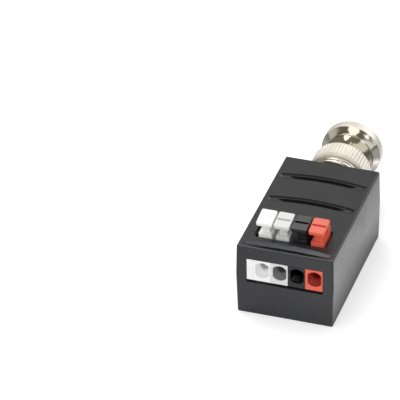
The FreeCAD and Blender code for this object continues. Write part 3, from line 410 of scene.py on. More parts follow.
class Link:
    """A socket of a node tree that takes part in Python sums."""

    def __init__(self, nodes, socket):
        self.nodes, self.socket = nodes, socket

    def math(self, operation, *values):
        return self.nodes.node("Math", dict(enumerate(values)), operation=operation)

    __add__ = __radd__ = lambda self, other: self.math("ADD", self, other)
    __mul__ = __rmul__ = lambda self, other: self.math("MULTIPLY", self, other)
    __sub__ = lambda self, other: self.math("SUBTRACT", self, other)
    __rsub__ = lambda self, other: self.math("SUBTRACT", other, self)
    __pow__ = lambda self, other: self.math("POWER", self, other)

    def between(self, low, high):
        """0 at low, 1 at high, even in between and held there."""
        return self.nodes.node("MapRange", {"Value": self, "From Min": low, "From Max": high}, clamp=True)

    def band(self, low, high, soft):
        """1 between low and high and 0 outside, with soft ends."""
        return self.between(low - soft, low + soft) * (1 - self.between(high - soft, high + soft))


class Nodes:
    """A node tree that is emptied and then built by sums and calls."""

    def __init__(self, owner):
        owner.use_nodes = True
        self.tree = owner.node_tree
        self.tree.nodes.clear()

    def node(self, kind, inputs=None, output=0, **settings):
        """Any shader node: its kind, the values or links of its sockets, and its settings."""
        made = self.tree.nodes.new("ShaderNode" + kind)
        for key, value in settings.items():
            setattr(made, key, value)
        for key, value in (inputs or {}).items():
            if isinstance(value, Link):
                self.tree.links.new(value.socket, made.inputs[key])
            else:
                made.inputs[key].default_value = value
        return Link(self, made.outputs[output]) if made.outputs else made

    def split(self, vector):
        """The three parts of a vector."""
        parts = self.node("SeparateXYZ", {0: vector}).socket.node
        return [Link(self, parts.outputs[i]) for i in range(3)]

    def place(self):
        """The place on the object, in millimetres."""
        return self.scale(self.node("TexCoord", output="Object"), 1 / MM)

    def scale(self, vector, factor):
        """A vector or colour times a factor."""
        return self.node("VectorMath", {0: vector, "Scale": factor}, operation="SCALE")

    def rays(self):
        """Two values: 1 for rays from the camera, and 1 for rays mirrored by a glossy surface."""
        path = self.node("LightPath").socket.node
        return [Link(self, path.outputs[k]) for k in ("Is Camera Ray", "Is Glossy Ray")]

    def mix(self, factor, first, second):
        """One colour over another by a factor."""
        return self.node("Mix", {"Factor": factor, 6: first, 7: second}, output=2, data_type="RGBA")


class Finish(Nodes):
    """A material with one Principled shader. Patterns are laid out in millimetres of the piece."""

    def __init__(self, name, **constants):
        self.material = bpy.data.materials.new(name)
        super().__init__(self.material)
        surface = self.node("BsdfPrincipled")
        self.shader = surface.socket.node
        self.node("OutputMaterial", {0: surface})
        for key, value in constants.items():
            self.shader.inputs[key.replace("_", " ")].default_value = value
        self.spot = self.place()

    def feed(self, socket, link):
        """Links a pattern to one of the shader's sockets."""
        self.tree.links.new(link.socket, self.shader.inputs[socket])

    def noise(self, scale, detail=2.0, stretch=(1.0, 1.0, 1.0), spot=None):
        """Cloudy noise with about scale waves to a millimetre, stretched along the axes."""
        where = self.node("VectorMath", {0: spot or self.spot, 1: stretch}, operation="MULTIPLY")
        return self.node("TexNoise", {"Vector": where, "Scale": scale, "Detail": detail, "Roughness": 0.5})

    def specks(self, scale, size):
        """Small round spots, one in each cell of a Voronoi pattern: 1 on a spot, 0 off it."""
        near = self.node("TexVoronoi", {"Vector": self.spot, "Scale": scale}, feature="F1")
        return 1 - near.between(size * 0.6, size)

    def round_place(self):
        """The place along the plug's axis and the distance from it."""
        x, y, z = self.split(self.spot)
        return y, ((x - PLUG_X) ** 2 + (z - PLUG_Z) ** 2) ** 0.5

    def tones(self, factor, rgb, dark, pale):
        """A colour that goes from a darker to a paler tone of it by a factor."""
        return self.mix(factor, shade(rgb, dark), shade(rgb, pale))

    def done(self, base, rough, height, depth):
        """Feeds the shader its colour, roughness and a relief of that depth in millimetres."""
        self.feed("Base Color", base)
        self.feed("Roughness", rough)
        self.feed("Normal", self.node("Bump", {"Height": height, "Distance": depth * MM, "Strength": 1.0}))
        return self.material


def shade(rgb, factor):
    """A colour made darker or lighter, with its alpha."""
    return tuple(min(1.0, c * factor) for c in rgb) + (1.0,)


def moulded(name, rgb, roughness, relief, grain, tint=0.12, dusty=0.0, dark=0.0):
    """Moulded plastic: a fine grain and slow changes of tint and gloss.

    Dusty is the strength of small pale specks. Dark is how much painted shade darkens the colour behind the
    face of the terminal row, inside the holes of a terminal, where shade falls."""
    finish = Finish(name, IOR=1.5)
    cloud = finish.noise(0.16, 3.0)
    fine = finish.noise(grain, 2.0)
    base = finish.tones(cloud, rgb, 1 - tint, 1 + tint)
    if dusty:
        base = finish.mix(finish.specks(0.55, 0.045) * dusty, base, (0.55, 0.55, 0.54, 1.0))
    # painted shade: the colour darkens behind the row's face, inside the wire ports
    if dark:
        deep = finish.split(finish.spot)[1].between(ROW_FRONT + 0.1, ROW_FRONT + 0.4)
        base = finish.mix(deep * dark, base, shade([c * c for c in rgb], 0.33))
    return finish.done(base, cloud * 0.08 + (fine * 0.08 + (roughness - 0.08)), fine, relief)


SATIN_SCATTER = 0.45
# Colour of the painted dark reflection on the nut's neck
PAINTED_NECK_REFLECTION = (0.34, 0.31, 0.24, 1.0)


def plated(name, rgb, roughness, lines=0.002, satin=(), painted_reflection=None):
    """Plated, turned metal: fine rings left by the tool, soft stains and uneven gloss.

    Each satin zone is (start, end, least radius, roughness) along the plug's axis. It is duller and
    paler than the polished rest, and partly scatters like paper. The painted reflection zone, (start,
    end, greatest radius), is darker and yellower: a painted dark reflection on the nut's neck."""
    finish = Finish(name)
    stain = finish.noise(0.35, 4.0)
    along, far = finish.round_place()
    ring = finish.noise(9.0, 3.0, spot=finish.node("CombineXYZ", {0: along, 1: far}))
    rough = stain * 0.05 + (ring * 0.04 + (roughness - 0.04))
    tone = stain.between(0.3, 0.75)
    base = finish.tones(tone, rgb, 0.80 if satin else 0.92, 0.92 if satin else 1.05)
    # painted reflection: the neck's nickel is darkened and yellowed as if it mirrored dark surroundings
    if painted_reflection:
        start, end, greatest = painted_reflection
        neck = along.band(start, end, 0.1) * (1 - far.between(greatest, greatest + 0.1))
        base = finish.mix(neck, base, PAINTED_NECK_REFLECTION)
    metallic = 1.0
    for start, end, least, dull in satin:
        zone = along.band(start, end, 0.06) * far.between(least - 0.05, least + 0.05)
        rough = rough * (1 - zone) + zone * (stain * 0.06 + dull)
        base = finish.mix(zone, base, shade(rgb, 1.08))
        metallic = metallic - zone * SATIN_SCATTER
    if satin:
        finish.feed("Metallic", metallic)
    else:
        finish.shader.inputs["Metallic"].default_value = metallic
    return finish.done(base, rough, ring, lines)


def printed_board(rgb):
    """Solder mask over copper: paler tracks on a grid, and a fine weave under the mask."""
    finish = Finish("board mask", IOR=1.5, Coat_Weight=0.3)
    tracks = {"Vector": finish.spot, "Scale": 0.25, "Mortar Size": 0.06, "Mortar Smooth": 0.3}
    parts = finish.node("TexBrick", tracks, output=1, offset=0.5)
    weave = finish.noise(2.2, 1.0, (1.0, 4.0, 1.0))
    base = finish.tones(parts * 0.6, rgb, 1.0, 1.9)
    return finish.done(base, weave * 0.15 + 0.30, parts + weave * 0.1, 0.02)


def enamelled(rgb):
    """Enamelled copper wire: glossy, with darker and paler lengths."""
    finish = Finish("winding wire", Metallic=0.85, Coat_Weight=0.7)
    cloud = finish.noise(1.2, 2.0)
    return finish.done(finish.tones(cloud, rgb, 0.75, 1.25), cloud * 0.15 + 0.20, cloud, 0.01)


def ceramic(name, rgb, roughness):
    """Pressed ferrite, ceramic or moulded epoxy: matte, with pores and fine grains."""
    finish = Finish(name, IOR=1.5)
    grain = finish.noise(5.0, 4.0)
    base = finish.tones(grain.between(0.35, 0.7), rgb, 0.75, 1.3)
    return finish.done(base, grain * 0.2 + (roughness - 0.1), grain, 0.02)


class Make(bpy.types.Operator):
    """What the operators of this file share."""

    bl_options = {"REGISTER"}

    def finished(self, made):
        """Raises an error if nothing was made."""
        if not made:
            raise RuntimeError(self.bl_label + " made nothing")
        return {"FINISHED"}


REAR_GROOVES = (12.9, 3.35)
FRONT_GROOVE = -15.5
GROOVE_STEPS, CRESCENT_STEPS = 57, 61
RUN_OUT, END_DEPTH = 0.6, 0.1
CRESCENT_TAPER, UNDERCUT_SHARE = 0.6, 0.4
FRONT_END_GAP, FRONT_END_DEPTH, FRONT_EDGE_SHARE = 0.3, 0.05, 0.85
SLOPE_LIMIT, SLOPE_TAPER, DEPTH_TAPER = 0.6, 0.3, 0.6
FRONT_UNDERCUT, FRONT_RISE, LEAST_DROP = 0.4, 0.4, 0.02
CUT_OVER = 0.4
SEAM_GAP = 0.02
ROOF_WINDOW = (-8.745, 8.085, -14.23, -7.48)
FRONT_WINDOW = (-8.91, 8.91, 8.58, 14.83)
FRONT_WINDOW_BACK = -15.0
FRONT_WINDOW_CORNER = 0.08
FRONT_FLARE, ROOF_FLARE = 1.0, 0.5
REAR_WALL = (15.6, 21)
SHANK_HOLE = 3.225
POST_PLACES = [(x, y) for x in (-8.0, 8.0) for y in (-2.08, 11.4)]
POST_HALF, POST_FOOT, POST_TOP = 1.5, 9.32, 17.0
BOSS_HALF, BOSS_FOOT, BOARD_UNDER = 1.8, 1.2, 7.64
RIB_X, RIB_HALF, RIB_RUN = 5.2, 0.5, (-16.0, -6.5)
INNER_ROUND = 0.1
COVER_CUT_FOOT, CASE_CUT_TOP, SLOT_CUT_FOOT, ROOF_CUT_FOOT = 8.0, 12.0, 9.0, 14.0


def arc_drop(x, radius):
    """How far an arc has fallen at x from its highest point: R - sqrt(R^2 - x^2)."""
    return radius - np.sqrt(radius ** 2 - x ** 2)


def loft_along(x, points):
    """A closed solid whose section at each x has the given points (y, z)."""
    return lofted(np.stack([np.stack([x, y + 0 * x, z + 0 * x], -1) for y, z in points], 1))


def groove_cutter(s, rear):
    """One grip groove. Its section is a steep step down, a floor that falls a little and a ramp up
    to the front edge, all carried on above the surface. It is carried round the arc
    x = R sin a, y = rear - R + R cos a, and gets shallow over the last part at both ends."""
    half_angle = math.asin((COVER_HIGH[0] - s.groove_margin) / s.groove_radius)
    a = np.linspace(-half_angle, half_angle, GROOVE_STEPS)[:, None]
    runs_out = smooth_step((half_angle - np.abs(a)) * s.groove_radius / RUN_OUT)
    deep = END_DEPTH + (1 - END_DEPTH) * runs_out
    steep = 1 / math.tan(s.step_slope)
    front = s.groove_radius - s.groove_width
    ramp = s.groove_ramp / s.groove_depth
    section = np.array([
        (s.groove_radius + CUT_OVER * steep, -CUT_OVER),
        (s.groove_radius - s.groove_step * steep, s.groove_step),
        (front + s.groove_ramp, s.groove_depth),
        (front - CUT_OVER * ramp, -CUT_OVER),
    ])
    far = section[:, 0] + 0 * a
    depth = np.where(section[:, 1] > 0, section[:, 1] * deep, section[:, 1])
    x, y = far * np.sin(a), rear - s.groove_radius + far * np.cos(a)
    return lofted(np.stack([x, y, COVER_HIGH[2] - depth], -1))


def crescent_cutter(s, rear):
    """The deep part of a groove. Its rear edge is an arc just in front of the groove's; from there
    it is w (1 - (x / h)^2)^t wide, which makes its front edge nearly straight. It reaches a little
    under its rear edge."""
    half = COVER_HIGH[0] - s.groove_margin - s.crescent_inset
    share = np.sin(np.linspace(-math.pi / 2, math.pi / 2, CRESCENT_STEPS))
    x = half * share
    back = rear - s.lip_width - arc_drop(x, s.groove_radius - s.lip_width)
    front = back - s.crescent_width * np.maximum(1 - share ** 2, 1e-3) ** CRESCENT_TAPER
    floor, over = COVER_HIGH[2] - s.crescent_depth, COVER_HIGH[2] + CUT_OVER
    under = back + np.minimum(s.crescent_undercut, (back - front) * UNDERCUT_SHARE)
    return loft_along(x, [(front, floor), (under, floor), (back, over), (front, over)])


def front_groove_cutter(s):
    """The groove at the front edge: a slope down from the arc, then a deep crescent whose floor
    rises to a straight edge. Both get shallow with 1 - (x / h)^2 towards the ends."""
    half = COVER_HIGH[0] - s.groove_margin - FRONT_END_GAP
    x = np.linspace(-half, half, CRESCENT_STEPS)
    top = COVER_HIGH[2]
    edge = COVER_LOW[1] + (top - SEAM) * math.tan(s.draft) + s.edge_radius * FRONT_EDGE_SHARE
    rear = FRONT_GROOVE - arc_drop(x, s.groove_radius)
    slope = math.tan(s.front_slope)
    share = FRONT_END_DEPTH + (1 - FRONT_END_DEPTH) * (1 - (x / half) ** 2)
    foot = rear - np.minimum(s.front_slope_length, (rear - edge) * SLOPE_LIMIT) * share ** SLOPE_TAPER
    shallow = (rear - foot) * slope
    deep = np.maximum(shallow + LEAST_DROP, s.front_depth * share ** DEPTH_TAPER)
    return loft_along(x, [
        (rear + CUT_OVER / slope, top + CUT_OVER), (foot, top - shallow),
        (foot + share * FRONT_UNDERCUT, top - deep), (edge, top - deep * FRONT_RISE), (edge, top + CUT_OVER),
    ])


def box_lines(half, radius):
    """Grid lines from -half to half, close together over the two round edges."""
    strip = edge_strip(radius)
    return np.concatenate([radius - half - strip[::-1], half - radius + strip])


def shell_mesh(s, zs, top, inset_at):
    """A shell before it is cut: a box of grids with round upright edges, and a round top edge if top
    is a height. It's drawn in by inset_at(z), and its walls lean in away from the seam."""
    half_x, half_y, r = COVER_HIGH[0], COVER_HIGH[1], s.edge_radius
    points, blocks = walled_box(box_lines(half_x, r), box_lines(half_y, r), zs)
    inset = inset_at(points[:, 2])
    points = round_edges(points, (-half_x, -half_y, -1e3), (half_x, half_y, top), r)
    points[:, :2] *= 1 - inset[:, None] / np.array([half_x, half_y])
    lean = np.abs(points[:, 2] - SEAM) * math.tan(s.draft)
    points[:, :2] *= 1 - lean[:, None] / np.array([half_x, half_y])
    return points, blocks


def cover_mesh(s):
    """The upper shell before it is cut, from just above the seam to its round top edge."""
    low, top = SEAM + SEAM_GAP, COVER_HIGH[2]
    zs = np.concatenate([[low, low + s.seam_bevel], top - s.edge_radius + edge_strip(s.edge_radius)])
    return shell_mesh(s, zs, top, lambda z: np.where(z < low + 1e-6, s.seam_bevel, 0))


def case_mesh(s):
    """The lower shell before it is cut, from its round base edge to the seam."""
    base = s.base_edge_radius
    zs = np.concatenate([base * (1 - np.cos(np.linspace(0, math.pi / 2, 6))), [SEAM - s.seam_bevel, SEAM]])

    def inset_at(z):
        foot = np.clip(1 - z / base, 0, 1)
        return base * (1 - np.sqrt(1 - foot ** 2)) + np.where(z > SEAM - 1e-6, s.seam_bevel, 0)
    return shell_mesh(s, zs, 1e3, inset_at)


def cavity_cutter(s, low, high):
    """The case's form a wall's thickness inside its outer face, between two heights."""
    rings = []
    for z in (low, high):
        lean = s.wall + abs(z - SEAM) * math.tan(s.draft)
        x, y = COVER_HIGH[0] - lean, COVER_HIGH[1] - lean
        rings.append([(-x, -y, z), (x, -y, z), (x, y, z), (-x, y, z)])
    return lofted(np.array(rings, float))


def window_cutters(s):
    """The openings in both shells: the terminals' window, which flares at the face, and the shank's hole."""
    x0, x1, z0, z1 = FRONT_WINDOW
    face = COVER_LOW[1] + s.window_bevel
    front = slab(rectangle(z0, z1, x0, x1), FRONT_WINDOW_CORNER,
                 [(face - FRONT_FLARE, -FRONT_FLARE), (face, 0.0), (FRONT_WINDOW_BACK, 0.0)], "Y")
    start, end = REAR_WALL
    hole = turned([(start, 0), (start, SHANK_HOLE), (end, SHANK_HOLE), (end, 0)], 64, closed=False)
    return front, hole


def post(x, y, half, low, high):
    """A square post inside the case."""
    return soft_block(x - half, x + half, y - half, y + half, low, high, INNER_ROUND)


class BuildCover(Make):
    """Builds the upper shell with its grip grooves and windows."""

    bl_idname = "balun.build_cover"
    bl_label = "Top cover"

    def execute(self, context):
        s = in_millimetres(context.scene.balun_case)
        front, hole = window_cutters(s)
        face = COVER_HIGH[2] - s.window_bevel
        roof = slab(rectangle(*ROOF_WINDOW), s.window_corner,
                    [(ROOF_CUT_FOOT, 0), (face, 0), (face + ROOF_FLARE, -ROOF_FLARE)], steps=8)
        cavity = cavity_cutter(s, COVER_CUT_FOOT, COVER_HIGH[2] - s.wall)
        slot = block(PLUG_X - SHANK_HOLE, PLUG_X + SHANK_HOLE, *REAR_WALL, SLOT_CUT_FOOT, PLUG_Z)
        grooves = [groove_cutter(s, rear) for rear in REAR_GROOVES]
        grooves += [crescent_cutter(s, rear) for rear in REAR_GROOVES] + [front_groove_cutter(s)]
        mesh = carved(cover_mesh(s), [cavity, roof, front, hole, slot] + grooves)
        add_shape(mesh, joined(*[post(x, y, POST_HALF, POST_FOOT, POST_TOP) for x, y in POST_PLACES]))
        return self.finished(piece("cover_shell", mesh, "case", "case", "top_cover",
                                   sharp=21.0))


class BuildCase(Make):
    """Builds the lower shell with its part of the front window."""

    bl_idname = "balun.build_case"
    bl_label = "Bottom case"

    def execute(self, context):
        s = in_millimetres(context.scene.balun_case)
        front, hole = window_cutters(s)
        mesh = carved(case_mesh(s), [cavity_cutter(s, s.wall, CASE_CUT_TOP), front, hole])
        bosses = [post(x, y, BOSS_HALF, BOSS_FOOT, BOARD_UNDER) for x, y in POST_PLACES]
        ribs = [soft_block(x - RIB_HALF, x + RIB_HALF, *RIB_RUN, BOSS_FOOT, BOARD_UNDER, INNER_ROUND)
                for x in (-RIB_X, RIB_X)]
        add_shape(mesh, joined(*bosses, *ribs))
        return self.finished(piece("case_shell", mesh, "case", "case", "bottom_case"))


FIRST_PORT, PORT_PITCH, PORT_HEIGHT = -5.24, 4.06, 2.98
MOUTH_BLEND = 18
THROAT_LENGTH = 3.2
CHAMBER_RUN, CHAMBER_SIDE, CHAMBER_FLOOR, CHAMBER_ROOF = (-14.38, -5.08), 3.61, 0.85, 0.8
LEG_SLOT_RUN, LEG_SLOT_SIDE, LEG_SLOT_DEPTH = (-14.13, -8.48), 1.02, 2.0
SIDE_CUT_OVER = 3.0
END_PLATE_NOSE, END_PLATE_WALL, END_PLATE_SETBACK = 2.2, 0.5, 0.5


def port_cutter(x, front, z, s):
    """The hole for a wire. Its outline is r(a) = min(R, w / (2 |cos a|)), a circle with flat sides,
    blended where they meet; it flares at the face, runs straight, and narrows over the funnel to
    the round throat."""
    a = np.linspace(0, 2 * math.pi, 96, endpoint=False)
    flat = s.port_flat_width / 2 / np.maximum(np.abs(np.cos(a)), 1e-6)
    mouth = -np.log(np.exp(-MOUTH_BLEND * s.port_radius) + np.exp(-MOUTH_BLEND * flat)) / MOUTH_BLEND
    start = s.port_straight
    wide = mouth + s.port_lip
    stations = [(-CUT_OVER, wide), (0.0, wide), (s.port_lip, mouth), (start, mouth)]
    for t in np.linspace(0, 1, 7)[1:]:
        stations.append((start + s.port_funnel * t, mouth + (s.throat_radius - mouth) * t))
    stations.append((start + s.port_funnel + THROAT_LENGTH, np.full_like(a, s.throat_radius)))
    rings = [np.stack([x + r * np.cos(a), np.full_like(a, front + y), z + r * np.sin(a)], -1)
             for y, r in stations]
    return lofted(np.stack(rings))


class BuildTerminals(Make):
    """Builds the four terminals with their wire ports, and the end plate."""

    bl_idname = "balun.build_terminals"
    bl_label = "Wire terminals"

    def execute(self, context):
        s = in_millimetres(context.scene.balun_terminals)
        made = []
        for i, name in enumerate(NAMES):
            low, high = corners("terminal_housing_" + name)
            outside = low[0] - SIDE_CUT_OVER
            body = soft_block(low[0], high[0], low[1], high[1], low[2], high[2], s.edge_radius)
            port = port_cutter(FIRST_PORT + PORT_PITCH * i, low[1], low[2] + PORT_HEIGHT, s)
            chamber = block(outside, low[0] + CHAMBER_SIDE, *CHAMBER_RUN,
                            low[2] + CHAMBER_FLOOR, high[2] - CHAMBER_ROOF)
            slot = block(outside, low[0] + LEG_SLOT_SIDE, *LEG_SLOT_RUN,
                         high[2] - LEG_SLOT_DEPTH, high[2] + SIDE_CUT_OVER)
            # the port finish has painted shade inside the wire port
            made.append(piece("terminal_" + name, carved(body, [port, chamber, slot]), "case",
                              name + " port", "terminal_housing_" + name))
        low, high = corners("terminal_end_plate")
        nose = soft_block(low[0], high[0], low[1], low[1] + END_PLATE_NOSE, low[2], high[2], s.edge_radius)
        wall = soft_block(high[0] - END_PLATE_WALL, high[0], low[1] + END_PLATE_SETBACK, high[1],
                          low[2], high[2], s.edge_radius)
        made.append(piece("end_plate", to_mesh(joined(nose, wall)), "case", "white",
                          "terminal_end_plate"))
        return self.finished(made)


FOOT_FRONT, FOOT_BOTTOM, FOOT_TOP = -14.03, 16.37, 18.9
WEB_FRONT, WEB_BACK, WEB_TOP = -10.08, -8.58, 20.4
WEB_STEP = 0.44
PAD_OVERHANG, PAD_RISE = 1.0, 4.3
PAD_UNDER_EDGE = 0.08
SLOT_BEVEL, SLOT_RISE, SLOT_FLARE = 0.06, 0.3, 0.22
STEM_CORNERS, STEM_EDGE = [0.13, 0.13, 0.3, 0.15, 0.15, 0.35, 0.2], 0.1
NECK_SETBACK, NECK_OVERLAP, NECK_CORNER = 0.8, 0.3, 0.25
NECK_LEVELS = [(18.1, -0.1), (18.9, -0.1), (19.15, 0.0), (21.3, 0.0), (21.6, -0.1), (22.2, -0.1)]
LEG_INSET, LEG_WIDTH, LEG_BOTTOM, LEG_TOP, LEG_ROUND = 0.06, 0.9, 12.87, 16.6, 0.08
HEEL_REACH, HEEL_HEIGHT = 0.25, 1.0


def tilted(shape, centre_y, centre_z, turn):
    """A shape turned about a line along X."""
    points, blocks = shape
    y, z = points[:, 1] - centre_y, points[:, 2] - centre_z
    c, n = math.cos(turn), math.sin(turn)
    return np.column_stack([points[:, 0], centre_y + y * c - z * n, centre_z + y * n + z * c]), blocks


def pad_shapes(s, x, slot_depth):
    """A button's pad and the cutter of the slot across it, both leaning forwards about the front edge."""
    front, top = FOOT_FRONT - PAD_OVERHANG, COVER_HIGH[2] + PAD_RISE
    half, slot_half, middle = s.pad_width / 2, s.slot_width / 2, front + s.pad_length / 2
    pad = slab(rectangle(x - half, x + half, front, front + s.pad_length), s.pad_corner,
               edge_levels(top - s.pad_thickness, top, PAD_UNDER_EDGE, s.pad_edge), steps=5)
    side = half - s.slot_margin
    slot = slab(rectangle(x - side, x + side, middle - slot_half, middle + slot_half), SLOT_BEVEL,
                [(top - slot_depth, 0.0), (top - SLOT_BEVEL, 0.0), (top + SLOT_RISE, -SLOT_FLARE)])
    return [tilted(shape, front, top, s.pad_tilt) for shape in (pad, slot)]


def stem_shapes(s, x):
    """What carries the pad: foot and web, one outline seen from the side, and the neck before the web."""
    under = COVER_HIGH[2] + PAD_RISE - s.pad_thickness + s.pad_length * math.sin(s.pad_tilt)
    step = WEB_FRONT - WEB_STEP
    profile = [(FOOT_FRONT, FOOT_BOTTOM), (WEB_BACK, FOOT_BOTTOM), (WEB_BACK, WEB_TOP), (WEB_FRONT, under),
               (step, under - WEB_STEP), (step, FOOT_TOP), (FOOT_FRONT, FOOT_TOP)]
    half = s.foot_width / 2
    foot = slab(profile, STEM_CORNERS, edge_levels(x - half, x + half, STEM_EDGE, STEM_EDGE), "X")
    half = s.neck_width / 2
    neck = slab(rectangle(x - half, x + half, FOOT_FRONT + NECK_SETBACK, WEB_FRONT + NECK_OVERLAP),
                NECK_CORNER, NECK_LEVELS)
    return [foot, neck]


class BuildButtons(Make):
    """Builds the four push buttons: pad, web, neck, foot, leg and heel."""

    bl_idname = "balun.build_buttons"
    bl_label = "Push buttons"

    def execute(self, context):
        s = in_millimetres(context.scene.balun_buttons)
        made = []
        for name in NAMES:
            x = corners("push_button_" + name)[1][0] - s.pad_width / 2
            pad, slot = pad_shapes(s, x, s.white_slot_depth if name == "white" else s.slot_depth)
            left = corners("terminal_housing_" + name)[0][0] + LEG_INSET
            right = left + LEG_WIDTH
            leg = soft_block(left, right, FOOT_FRONT, WEB_BACK, LEG_BOTTOM, LEG_TOP, LEG_ROUND)
            heel = soft_block(left, right, FOOT_FRONT - HEEL_REACH, FOOT_FRONT + HEEL_REACH,
                              LEG_BOTTOM, LEG_BOTTOM + HEEL_HEIGHT, LEG_ROUND)
            mesh = carved(pad, [slot], stem_shapes(s, x))
            add_shape(mesh, joined(leg, heel))
            made.append(piece("button_cap_" + name, mesh, "button_" + name, name,
                              "push_button_" + name))
        return self.finished(made)


LIP_LENGTH, LIP_BORE, SOCKET_RADIUS = 2.8, 4.06, 4.95
RIM_LENGTH, FLARE_MIDDLE, FLARE_LENGTH = 2.4, 3.0, 3.6
FLARE_MIDDLE_RADIUS, FLARE_FOOT_RADIUS, FLARE_BEND = 6.38, 5.7, 4.0
BEAD_START, BEAD_END, BEAD_RADIUS = 3.66, 3.86, 5.86
NECK_END, NECK_END_RADIUS, NECK_RISE, NECK_RADIUS, NECK_BEND = 3.92, 5.62, 8.2, 5.3, 7.0
GRIP_LENGTH, GRIP_FULL, GRIP_RADIUS, GRIP_END_RADIUS = 5.0, (0.45, 4.6), 7.1, 6.62
COLLAR_BORE, COLLAR_OVER, COLLAR_ROUND = 3.2, 0.1, 0.42
WAIST_SHIFT, WAIST_HALF, WAIST_DEPTH = 0.1, 0.04, 0.28
BODY_BORE, BEARING_RADIUS, SHANK_RADIUS = 1.95, 4.0, 3.175
BEARING_START, SHOULDER_START, SHOULDER_END = 20.96, 25.35, 26.55
PIN_HOLE, INSULATOR_STEP, INSULATOR_WIDE, INSULATOR_NARROW = 0.715, 25.39, 3.31, 1.91
GASKET_BORE, GASKET_ROUND = 4.07, 0.12
CHANNEL_START = 32.35
CHANNEL_INSIDE = 4.4
RAMP_STEPS, ENTRY_STEPS = 41, 30
MOUTH_CUT_OVER = 1.0
SLEEVE_SLOT_START, SLEEVE_SLOT_REACH = 27.7, 6.0
SLEEVE_SLOT_TURNS = (45, 135)
GRIP_RUN, GRIP_SOFT, GRIP_INSIDE = (0.4, 4.65), 0.12, 6.3
RIB_SHAPE = 1.6
CONTACT_RADIUS, CONTACT_BORE, SHOULDER_RADIUS = 4.03, 3.35, 4.65


def ribbon(turn, place, half_width, inner, outer, around=5):
    """A closed strip on a cylinder along a path of angles and places, round at both ends.

    Near each end the half width is sqrt(h^2 - (h - d)^2), d being the distance from that end."""
    turn, place = np.asarray(turn, float), np.asarray(place, float)
    run = np.column_stack([turn * outer, place])
    step = np.gradient(run, axis=0)
    step /= np.linalg.norm(step, axis=1)[:, None]
    side = np.column_stack([-step[:, 1], step[:, 0]])
    done = np.concatenate([[0], np.cumsum(np.linalg.norm(np.diff(run, axis=0), axis=1))])
    near = np.minimum(np.minimum(done, done[-1] - done), half_width)
    wide = np.sqrt(np.maximum(half_width ** 2 - (half_width - near) ** 2, 1e-4))
    across = np.linspace(-1, 1, around)
    spots = run[:, None] + side[:, None] * (wide[:, None] * across)[..., None]
    rings = [on_plug(spots[..., 1], r, spots[..., 0] / outer) for r in (inner, outer)]
    return lofted(np.concatenate([rings[0], rings[1][:, ::-1]], axis=1))


def channel_cutters(s):
    """The two bayonet channels: for each, a ramp that closes and a way in from the mouth."""
    half = s.channel_width / 2
    bend = half / s.channel_radius
    mouth = NUT_HIGH[1] + half + MOUTH_CUT_OVER
    cutters = []
    for start in (s.channel_end, s.channel_end + math.pi):
        turn = np.linspace(start - bend, start + s.channel_turn + bend, RAMP_STEPS)
        ramp = CHANNEL_START + s.channel_rise * (turn - start) / s.channel_turn
        cutters.append(ribbon(turn, ramp, half, CHANNEL_INSIDE, s.channel_radius))
        place = np.linspace(CHANNEL_START + s.channel_rise - half, mouth, ENTRY_STEPS)
        turn = np.full(ENTRY_STEPS, start + s.channel_turn)
        cutters.append(ribbon(turn, place, half, CHANNEL_INSIDE, s.channel_radius))
    return cutters


def sleeve_cutters(s, end):
    """Two flat blocks across the contact sleeve, which cut its four slots."""
    half = s.slot_width / 2
    cutters = []
    for turn in map(math.radians, SLEEVE_SLOT_TURNS):
        points, blocks = block(PLUG_X - SLEEVE_SLOT_REACH, PLUG_X + SLEEVE_SLOT_REACH, SLEEVE_SLOT_START,
                               end + MOUTH_CUT_OVER, PLUG_Z - half, PLUG_Z + half)
        c, n = math.cos(turn), math.sin(turn)
        x, z = points[:, 0] - PLUG_X, points[:, 2] - PLUG_Z
        points = np.column_stack([PLUG_X + x * c + z * n, points[:, 1], PLUG_Z - x * n + z * c])
        cutters.append((points, blocks))
    return cutters


def grip_ribs(s):
    """The grip's radius: the furrows go down by depth |sin(n a / 2)|^e, and end inside the grip."""
    start, end = NUT_LOW[1] + GRIP_RUN[0], NUT_LOW[1] + GRIP_RUN[1]

    def change(y, r, a):
        zone = smooth_step((y - start) / GRIP_SOFT) * smooth_step((end - y) / GRIP_SOFT) * (r > GRIP_INSIDE)
        return r - s.rib_depth * zone * np.abs(np.sin(s.rib_count * a / 2)) ** RIB_SHAPE
    return change


def section_of(table, steps=4):
    """A section anticlockwise from a table of (place along the plug, radius, round of the corner)."""
    table = np.array(table)
    return rounded(table[:, :2], table[:, 2], steps=steps)


def reach(node):
    """A turned piece's start, its end and its outer radius."""
    low, high = corners(node)
    return low[1], high[1], high[0] - PLUG_X


def nut_section():
    """The coupling nut, from its lip through the socket and back over rim, flare, bead, neck and grip."""
    back, mouth, outer = reach("coupling_nut")
    lip_end, grip_end = back + LIP_LENGTH, back + GRIP_LENGTH
    return section_of([
        (back, LIP_BORE, 0.05), (lip_end, LIP_BORE, 0.05), (lip_end, SOCKET_RADIUS, 0.05),
        (mouth, SOCKET_RADIUS, 0.3), (mouth, outer, 0.25), (mouth - RIM_LENGTH, outer, 0.04),
        (mouth - FLARE_MIDDLE, FLARE_MIDDLE_RADIUS, FLARE_BEND),
        (mouth - FLARE_LENGTH, FLARE_FOOT_RADIUS, 0.03), (mouth - BEAD_START, BEAD_RADIUS, 0.05),
        (mouth - BEAD_END, BEAD_RADIUS, 0.05), (mouth - NECK_END, NECK_END_RADIUS, 0.05),
        (back + NECK_RISE, NECK_RADIUS, NECK_BEND),
        (grip_end, NECK_RADIUS, 0.15), (grip_end, GRIP_END_RADIUS, 0.1),
        (back + GRIP_FULL[1], GRIP_RADIUS, 0.12), (back + GRIP_FULL[0], GRIP_RADIUS, 0.12),
        (back, GRIP_END_RADIUS, 0.1),
    ], steps=5)


